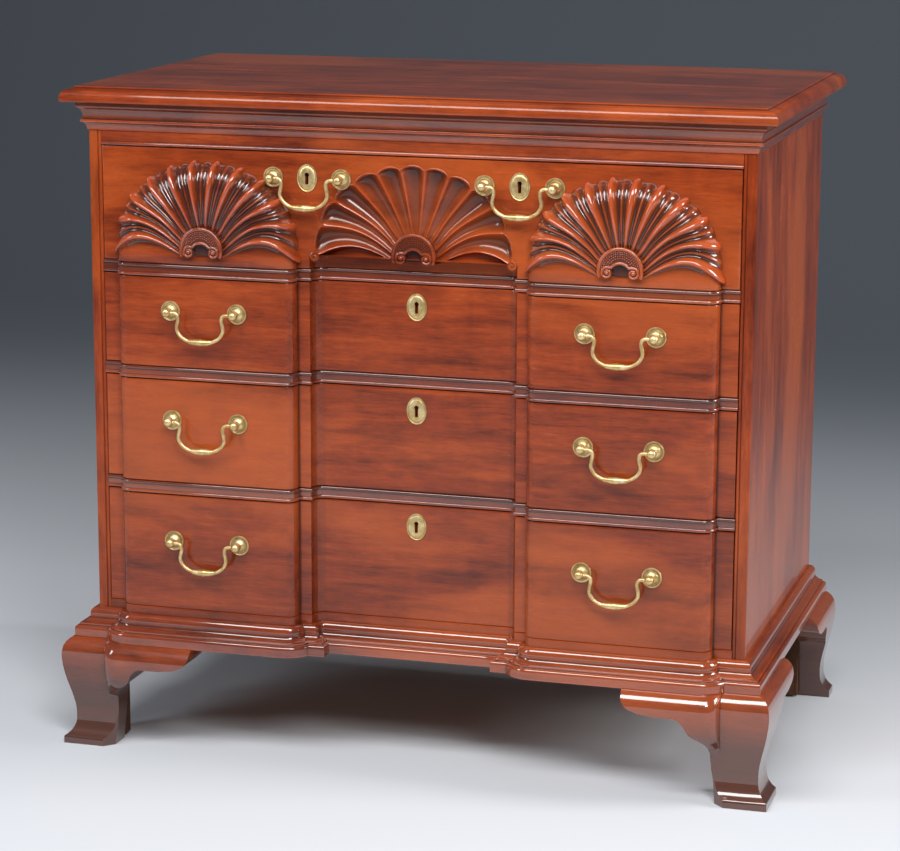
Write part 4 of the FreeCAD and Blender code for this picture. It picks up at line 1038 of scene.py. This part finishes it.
def stud(piece, x, plane, z):
    """One raised dot of a stippled ground."""
    rows = []
    for radius, reach in ((1.15, -0.2), (0.9, 0.9), (0.3, 1.4)):
        turns = [k * math.pi / 3 for k in range(6)]
        # Each stud gets a little rubbed wear and a little painted shade.
        rows.append(
            [(x + radius * math.cos(t), plane - reach, z + radius * math.sin(t), 0.2, 0.3) for t in turns]
        )
    piece.loft(rows, ring=True, caps=True)


def block_cap(piece, cx, low):
    """The top of a block below a raised shell, up to its lowest ribs."""
    level = FRONT - RISE + ROUND
    inner, outer = BLOCK_INNER + ROUND, BLOCK_OUTER - ROUND
    plan = [(BLOCK_INNER, FRONT + 0.5)] + arc(inner, level, ROUND, 180, 270, 10)
    plan += line((inner, FRONT - RISE), (outer, FRONT - RISE), 40)[1:-1]
    plan += arc(outer, level, ROUND, 270, 360, 10) + [(BLOCK_OUTER, FRONT + 0.5)]
    sign = 1 if cx > 0 else -1
    rows = []
    for out, share in ((-1, 0.0), (-0.3, 0.02), (0, 0.06), (0, 0.5), (0, 1.0)):
        row = []
        for x, y in plan:
            high = HUB_LEVEL + RAISED.arch(x - BLOCK_MID)
            row.append((sign * x, min(y - out, FRONT + 0.5), low + (high - low) * share))
        rows.append(row)
    piece.loft(rows)
    piece.thicken(FRONT + 0.6)


def make_shells():
    """The two raised shells of the top drawer."""
    for name, sign in SIDES.items():
        piece = Piece()
        raised_fan(piece, sign * BLOCK_MID)
        hub(piece, sign * BLOCK_MID, FRONT - RISE)
        make(piece, f"carved_shell_{name}", [MOULDED_X], "drawer_1", [f"shell_{name}"], smooth=50)


# Drawers

LOCK_DEEP = 11
TAIL_LONG = 14
BOX_OUTER, BOX_SIDE, BOX_BACK_THICK, BOX_DROP = 419.5, 12, 11, 6


KEY_HEAD, KEY_ROUND, KEY_SLOT, KEY_FOOT = 4.2, 2.8, 2.0, -7.8


def keyhole_solid(piece, x, plane, level, deep):
    """The way of a key: a round hole over a slot."""
    plan = arc(0, KEY_HEAD, KEY_ROUND + 0.1, -46, 226, 14)
    plan += [(-KEY_SLOT - 0.1, KEY_FOOT), (KEY_SLOT + 0.1, KEY_FOOT)]
    rows = [[(x + u, y, level + w) for u, w in plan] for y in (plane - 3, plane + deep)]
    piece.loft(rows, ring=True, caps=True)


def lock_places(number):
    """The middle of each escutcheon of a drawer."""
    low, high = corners(f"drawer_{number}_escutcheon")
    level = (low.z + high.z) / 2
    half = (high.x - low.x) / 2 - 13.5
    return [(-half, level), (half, level)] if number == 1 else [(0, level)]


def rectangle(across, up):
    """Corners of a rectangle from its two ranges."""
    return [(across[0], up[0]), (across[1], up[0]), (across[1], up[1]), (across[0], up[1])]


def prism(piece, outline, depths):
    """An upright outline run from one depth to another."""
    piece.loft([[(x, y, z) for x, z in outline] for y in depths], ring=True, caps=True)


def tails(low, high, root, tip):
    """Dovetails up the end of a board: the four corners of each, as depth and level."""
    count = round((high - low) / 33)
    pitch = (high - low) / count
    result = []
    for k in range(count):
        bottom, top = low + pitch * k + 4, low + pitch * (k + 1) - 4
        result.append([(root, bottom + 2.6), (tip, bottom), (tip, top), (root, top - 2.6)])
    return result


def make_box(number):
    """The dovetailed sides and back of a drawer."""
    low, high = corners(f"drawer_{number}_box")
    root = high.y - BOX_BACK_THICK
    piece = Piece()
    front = tails(low.z, high.z, BOX_FRONT, BOX_FRONT - TAIL_LONG)
    rear = tails(low.z, high.z, root, high.y)
    outline = [(BOX_FRONT, low.z), (root, low.z)] + [corner for tail in rear for corner in tail]
    outline += [(root, high.z), (BOX_FRONT, high.z)]
    outline += [corner for tail in reversed(front) for corner in reversed(tail)]
    for side in (-1, 1):
        rows = [[(side * x, y, z) for y, z in outline] for x in (BOX_OUTER - BOX_SIDE, BOX_OUTER)]
        piece.loft(rows, ring=True, caps=True)
    piece.finish = 1
    back_low = corners(f"drawer_{number}_bottom")[1].z
    inner = BOX_OUTER - BOX_SIDE
    piece.board((-inner, root, back_low), (inner, high.y, high.z), 0.6)
    edges = [low.z] + [corner[1] for tail in rear for corner in tail[1:3]] + [high.z]
    for bottom, top in zip(edges[::2], edges[1::2]):
        if bottom < back_low:
            continue
        under = 0 if bottom == low.z else 2.6
        over = 0 if top == high.z else 2.6
        pin = [(root, bottom - under), (high.y, bottom), (high.y, top), (root, top + over)]
        for side in (-1, 1):
            rows = [[(side * x, y, z) for y, z in pin] for x in (inner - 0.2, BOX_OUTER)]
            piece.loft(rows, ring=True, caps=True)
    node = f"drawer_{number}_box"
    make(piece, f"dovetailed_box_{number}", [POPLAR, POPLAR_X], f"drawer_{number}", [node])


def make_front(number):
    """A drawer front, blocked or with the carved top."""
    low, high = corners(f"drawer_{number}_front")
    piece = Piece()
    if number == 1:
        carved_front(piece, low, high)
    else:
        # Painted shadow along the gaps at the front's top and bottom edges.
        blocked_board(piece, eased(low.z, high.z), high.x, BOX_FRONT, 1.0)
    name = f"blocked_front_{number}" if number > 1 else "carved_front"
    item = make(piece, name, [WOOD_X], f"drawer_{number}", [f"drawer_{number}_front"])
    cutter = Piece()
    plane = FRONT if number == 1 else FRONT + RECESS
    for x, level in lock_places(number):
        keyhole_solid(cutter, x, plane, level, BOX_FRONT - LOCK_DEEP - plane + 1)
        mortise = ((x - 38.2, x + 38.2), (BOX_FRONT - LOCK_DEEP - 0.2, BOX_FRONT + 2), (level - 19.2, high.z + 2))
        prism(cutter, [(a, c) for a, c in rectangle(mortise[0], mortise[2])], mortise[1])
    for side in (-1, 1):
        for tail in tails(low.z, high.z - BOX_DROP, BOX_FRONT + 0.1, BOX_FRONT - TAIL_LONG):
            rows = [[(side * x, y, z) for y, z in tail] for x in (BOX_OUTER - BOX_SIDE, high.x + 2)]
            cutter.loft(rows, ring=True, caps=True)
    cut(item, cutter)


def carved_front(piece, low, high):
    """The top drawer's front: a flat board round the sunk shell, and the caps of two blocks."""
    wide = high.x
    rows = []
    for inset, depth in ((0, BOX_FRONT), (0, FRONT + 1), (0.3, FRONT + 0.3), (1, FRONT), (3, FRONT)):
        row = [(-wide + inset, low.z + inset), (-RECESS_EDGE, low.z + inset)] + notch()
        row += [(RECESS_EDGE, low.z + inset), (wide - inset, low.z + inset)]
        row += [(wide - inset, high.z - inset), (-wide + inset, high.z - inset)]
        rows.append([(x, depth, z) for x, z in row])
    piece.loft(rows, ring=True, caps=True)
    sunk_shell(piece, low.z)
    hub(piece, 0, FRONT + 12)
    for side in (-1, 1):
        block_cap(piece, side * BLOCK_MID, low.z)
        centre = (side * 130.8, HUB_LEVEL - 5.5)
        # Each small scroll's disc gets some painted shade.
        slab(piece, arc(0, 0, 6.3, 0, 345, 23), centre, FRONT - 0.8, FRONT + 8, 0.4)
        scroll = spiral(centre, FRONT - 1.0, 90, -side * 430, 5.6, 1.2, 40)
        piece.tube(scroll, [1.4 - 0.5 * i / 40 for i in range(41)], 8)


def bail_path():
    """Half of a bail from its middle to its pin: (across, up) from the line of its pins."""
    half = line((0, -37), (13, -36.6), 10) + arc(18, -24, 12.6, -83, -12, 8)
    half += [(31.6, -20.5), (32.4, -17), (31.2, -12), (29.9, -8.4), (29.7, -5.4)]
    half += arc(34.2, -4.4, 4.4, 172, 96, 5) + [(38, 0), (46, 0)]
    return half


def smooth_path(points, steps):
    """A Catmull-Rom curve through points."""
    ends = [points[0]] + points + [points[-1]]
    path = []
    for a, b, c, d in zip(ends, ends[1:], ends[2:], ends[3:]):
        for k in range(steps):
            t = k / steps
            place = []
            for i in range(len(a)):
                pull = (c[i] - a[i]) * t + (2 * a[i] - 5 * b[i] + 4 * c[i] - d[i]) * t**2
                place.append(b[i] + 0.5 * (pull + (3 * b[i] - a[i] - 3 * c[i] + d[i]) * t**3))
            path.append(tuple(place))
    return path + [points[-1]]


BAIL_HALF = [(0, -37), (8, -36.9), (14, -36.3), (20, -34.2), (26, -30.4), (30, -25.2), (31.6, -20.5)]
BAIL_HALF += [(31.3, -15.5), (30.1, -10.5), (29.8, -6), (31, -2.2), (34.2, -0.2), (38, 0), (46, 0)]


def bail_radius(across):
    """Thickness of a bail's rod: a swelling between two small rings in the middle."""
    away = abs(across)
    swell = 2.4 + 2.0 * max(1 - (away / 15) ** 2, 0)
    return swell + 0.5 * math.exp(-(((away - 13.5) / 1.0) ** 2)) + 0.4 * math.exp(-((away / 1.2) ** 2))


def make_bail(number, name):
    """One swan neck bail."""
    node = f"drawer_{number}_bail_{name}"
    low, high = corners(node)
    x, y, pivot = (low.x + high.x) / 2, (low.y + high.y) / 2, high.z - 2.2
    half = smooth_path(BAIL_HALF, 4)
    plan = [(-u, w) for u, w in reversed(half)] + half[1:]
    path = [(x + u, y, pivot + w) for u, w in plan]
    radii = [bail_radius(u) if w < -30 else 2.4 for u, w in plan]
    piece = Piece()
    piece.tube(path, radii, 14)
    make(piece, f"swan_bail_{number}_{name}", [BRASS], node, [node], smooth=50)


POST_PROFILE = [(0.01, -46.5), (2.1, -46), (2.2, -45), (2.2, -0.2), (12.8, -0.2, 0.7), (13.2, 0.3, 0.3), (13.2, 1.4)]
POST_PROFILE += [(12.6, 2.2), (11.7, 2.3), (11.0, 1.7, 0.9), (10.2, 1.4, 0.9), (9.2, 1.7, 0.5), (8.4, 2.9), (7.4, 4.2)]
POST_PROFILE += [(6.0, 5.3), (4.6, 6.2), (3.8, 7.4, 0.5), (3.7, 8.6, 0.7), (4.4, 10.0, 0.2), (5.6, 12.0), (6.2, 14.6)]
POST_PROFILE += [(6.1, 17.0), (5.2, 19.2), (3.7, 20.7), (1.9, 21.5), (0.01, 21.7)]


def make_posts(number):
    """The handle posts of a drawer with their nuts inside."""
    piece = Piece()
    plane = FRONT if number == 1 else FRONT - RISE
    for name in SIDES:
        low, high = corners(f"drawer_{number}_bail_{name}")
        middle, pivot = (low.x + high.x) / 2, high.z - 2.2
        for x in (middle - 45.5, middle + 45.5):
            shank = BOX_FRONT - plane + 6
            profile = []
            for radius, reach, *valley in POST_PROFILE:
                profile.append((radius, reach + 46.5 - shank if reach < -40 else reach, *valley))
            piece.turning(profile, (x, plane, pivot))
            nut_low = (x - 4.5, BOX_FRONT, pivot - 4.5)
            piece.board(nut_low, (x + 4.5, BOX_FRONT + 4, pivot + 4.5), 0.5)
    node = f"drawer_{number}_handle_posts"
    make(piece, f"rosettes_{number}", [BRASS], f"drawer_{number}", [node], smooth=32)


PLATE_WIDE, PLATE_HIGH = 13.5, 18
PLATE = [(0.64, 1.8, 0), (0.74, 1.6, 0), (0.81, 1.1, 0.2), (0.85, 0.8, 0.8), (0.89, 0.9, 0.7), (0.93, 1.3, 0.1)]
PLATE += [(0.97, 1.2, 0), (1, 0.4, 0.3), (1, -0.2, 0.6)]


def make_escutcheons(number):
    """Oval keyhole plates with a raised rim."""
    piece = Piece()
    plane = FRONT if number == 1 else FRONT + RECESS
    turns = [2 * math.pi * k / 64 for k in range(64)]
    for x, level in lock_places(number):
        holes = [keyhole_reach(t) for t in turns]
        ovals = [1 / math.hypot(math.cos(t) / PLATE_WIDE, math.sin(t) / PLATE_HIGH) for t in turns]
        lines = [([hole + step for hole in holes], reach, valley) for step, reach, valley in KEY_EDGE]
        lines += [([oval * share for oval in ovals], reach, valley) for share, reach, valley in PLATE]
        rows = []
        for reaches, depth, valley in lines:
            around = zip(reaches, turns)
            rows.append([(x + r * math.cos(t), plane - depth, level + r * math.sin(t), 0, valley) for r, t in around])
        rows.append(rows[0])
        piece.loft(rows, ring=True)
    node = f"drawer_{number}_escutcheon"
    make(piece, f"keyhole_plate_{number}", [BRASS], f"drawer_{number}", [node], smooth=30)


KEY_EDGE = [(0, -0.2, 1), (0, 1.2, 0.7), (0.4, 1.8, 0.1)]


def keyhole_reach(angle):
    """Distance from a keyhole's middle to its edge, in a direction."""
    across, up = math.cos(angle), math.sin(angle)
    side = KEY_SLOT / max(abs(across), 0.01)
    if side * up > KEY_HEAD - math.sqrt(KEY_ROUND**2 - KEY_SLOT**2):
        return KEY_HEAD * up + math.sqrt(KEY_ROUND**2 - (KEY_HEAD * across) ** 2)
    return min(side, KEY_FOOT / min(up, -0.01))


def make_drawers():
    """Fronts, brasses and bails of the four drawers."""
    for number in (1, 2, 3, 4):
        make_front(number)
        make_box(number)
        make_posts(number)
        make_escutcheons(number)
        for name in SIDES:
            make_bail(number, name)


def finish_inside():
    """Gives the plain inside pieces their finishes."""
    for name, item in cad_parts.items():
        if item.hide_render:
            continue
        if "lock" in name and "block" not in name:
            finish = IRON
        elif name in ("back_boards", "case_bottom", "rear_top_rail") or name.endswith("_bottom"):
            finish = CHESTNUT
        elif name == "foot_glue_blocks":
            # The glue blocks take the very dark pine that stands for painted shade under the case.
            finish = SHADE_DARK_PINE
        else:
            finish = POPLAR
        item.data.materials.clear()
        item.data.materials.append(finish)


# Studio


def make_stage():
    """A plain pale floor that sweeps up behind the chest, with painted shade that turns it a darker grey there."""
    finish = Finish("pale_floor")
    depth = finish.node("ShaderNodeSeparateXYZ", None, {0: finish.place()}, output=1)
    # Painted shade: the floor darkens to grey with distance behind the chest.
    shade = finish.mix(finish.ramp(depth, -0.4, 2.7), colour(0.60, 0.62, 0.65), colour(0.13, 0.145, 0.165))
    finish.surface(base_color=shade, roughness=0.8, specular_ior_level=0.1)
    turns = [math.radians(6 * i) for i in range(16)]
    sweep = [(-7.0, 0.0)] + [(3.0 + 3 * math.sin(t), 3 - 3 * math.cos(t)) for t in turns] + [(6.0, 7.0)]
    places = [(x, y, z) for y, z in sweep for x in (-9, 9)]
    faces = [(2 * i, 2 * i + 1, 2 * i + 3, 2 * i + 2) for i in range(len(sweep) - 1)]
    mesh = bpy.data.meshes.new("floor")
    mesh.from_pydata(places, [], faces)
    mesh.shade_smooth()
    mesh.materials.append(finish.material)
    floor = bpy.data.objects.new("floor", mesh)
    bpy.context.scene.collection.objects.link(floor)


def make_lamp(name, place, target, wide, high, power, tint=(1, 1, 1)):
    """A rectangular soft lamp that faces a target."""
    lamp = bpy.data.lights.new(name, "AREA")
    lamp.shape = "RECTANGLE"
    lamp.size, lamp.size_y = wide, high
    lamp.energy = power
    lamp.color = tint
    item = bpy.data.objects.new(name, lamp)
    item.location = place
    item.rotation_euler = (Vector(target) - Vector(place)).to_track_quat("-Z", "Y").to_euler()
    bpy.context.scene.collection.objects.link(item)


def make_light():
    """A key lamp on the upper right, a cool one on the left, one overhead and a dim room."""
    middle = (0, 0, 0.45)
    make_lamp("key", (1.6, -2.9, 2.7), middle, 1.0, 0.8, 47)
    make_lamp("cool", (-3.0, -2.3, 2.0), middle, 0.6, 1.8, 38, (0.84, 0.92, 1.0))
    make_lamp("overhead", (0.0, -2.0, 2.7), middle, 2.8, 0.9, 90)
    make_lamp("side", (3.4, 0.2, 1.9), middle, 1.1, 1.5, 92)
    make_lamp("backdrop", (0.0, 2.4, 4.6), (0, 5.0, 0.8), 5.0, 1.0, 30)
    world = bpy.data.worlds.new("room")
    world.use_nodes = True
    world.node_tree.nodes["Background"].inputs[0].default_value = colour(0.80, 0.86, 0.95)
    world.node_tree.nodes["Background"].inputs[1].default_value = 0.13
    bpy.context.scene.world = world


CAMERA_PLACE = (1.0633, -3.7054, 1.2438)
CAMERA_YAW, CAMERA_PITCH, CAMERA_ROLL = 16.22, 12.17, 0.206
CAMERA_LENS = 116.4


def make_camera():
    """The camera, to the right of the chest and a little above it."""
    yaw, pitch, roll = map(math.radians, (CAMERA_YAW, CAMERA_PITCH, CAMERA_ROLL))
    ahead = Vector((-math.sin(yaw) * math.cos(pitch), math.cos(yaw) * math.cos(pitch), -math.sin(pitch)))
    level = Vector((math.cos(yaw), math.sin(yaw), 0))
    above = level.cross(ahead)
    right = level * math.cos(roll) + above * math.sin(roll)
    up = above * math.cos(roll) - level * math.sin(roll)
    lens = bpy.data.cameras.new("camera")
    lens.lens, lens.sensor_width = CAMERA_LENS, 36.0
    camera = bpy.data.objects.new("camera", lens)
    turn = Matrix((right, up, -ahead)).transposed().to_4x4()
    camera.matrix_world = Matrix.Translation(CAMERA_PLACE) @ turn
    bpy.context.scene.collection.objects.link(camera)
    bpy.context.scene.camera = camera


bpy.context.scene.view_settings.view_transform = "Standard"
make_camera()
make_top()
make_mouldings()
make_sides()
make_rails()
make_back()
for side_name, side_sign in SIDES.items():
    make_front_foot(side_name, side_sign)
    make_rear_foot(side_name, side_sign)
make_shells()
make_drawers()
finish_inside()
make_stage()
make_light()
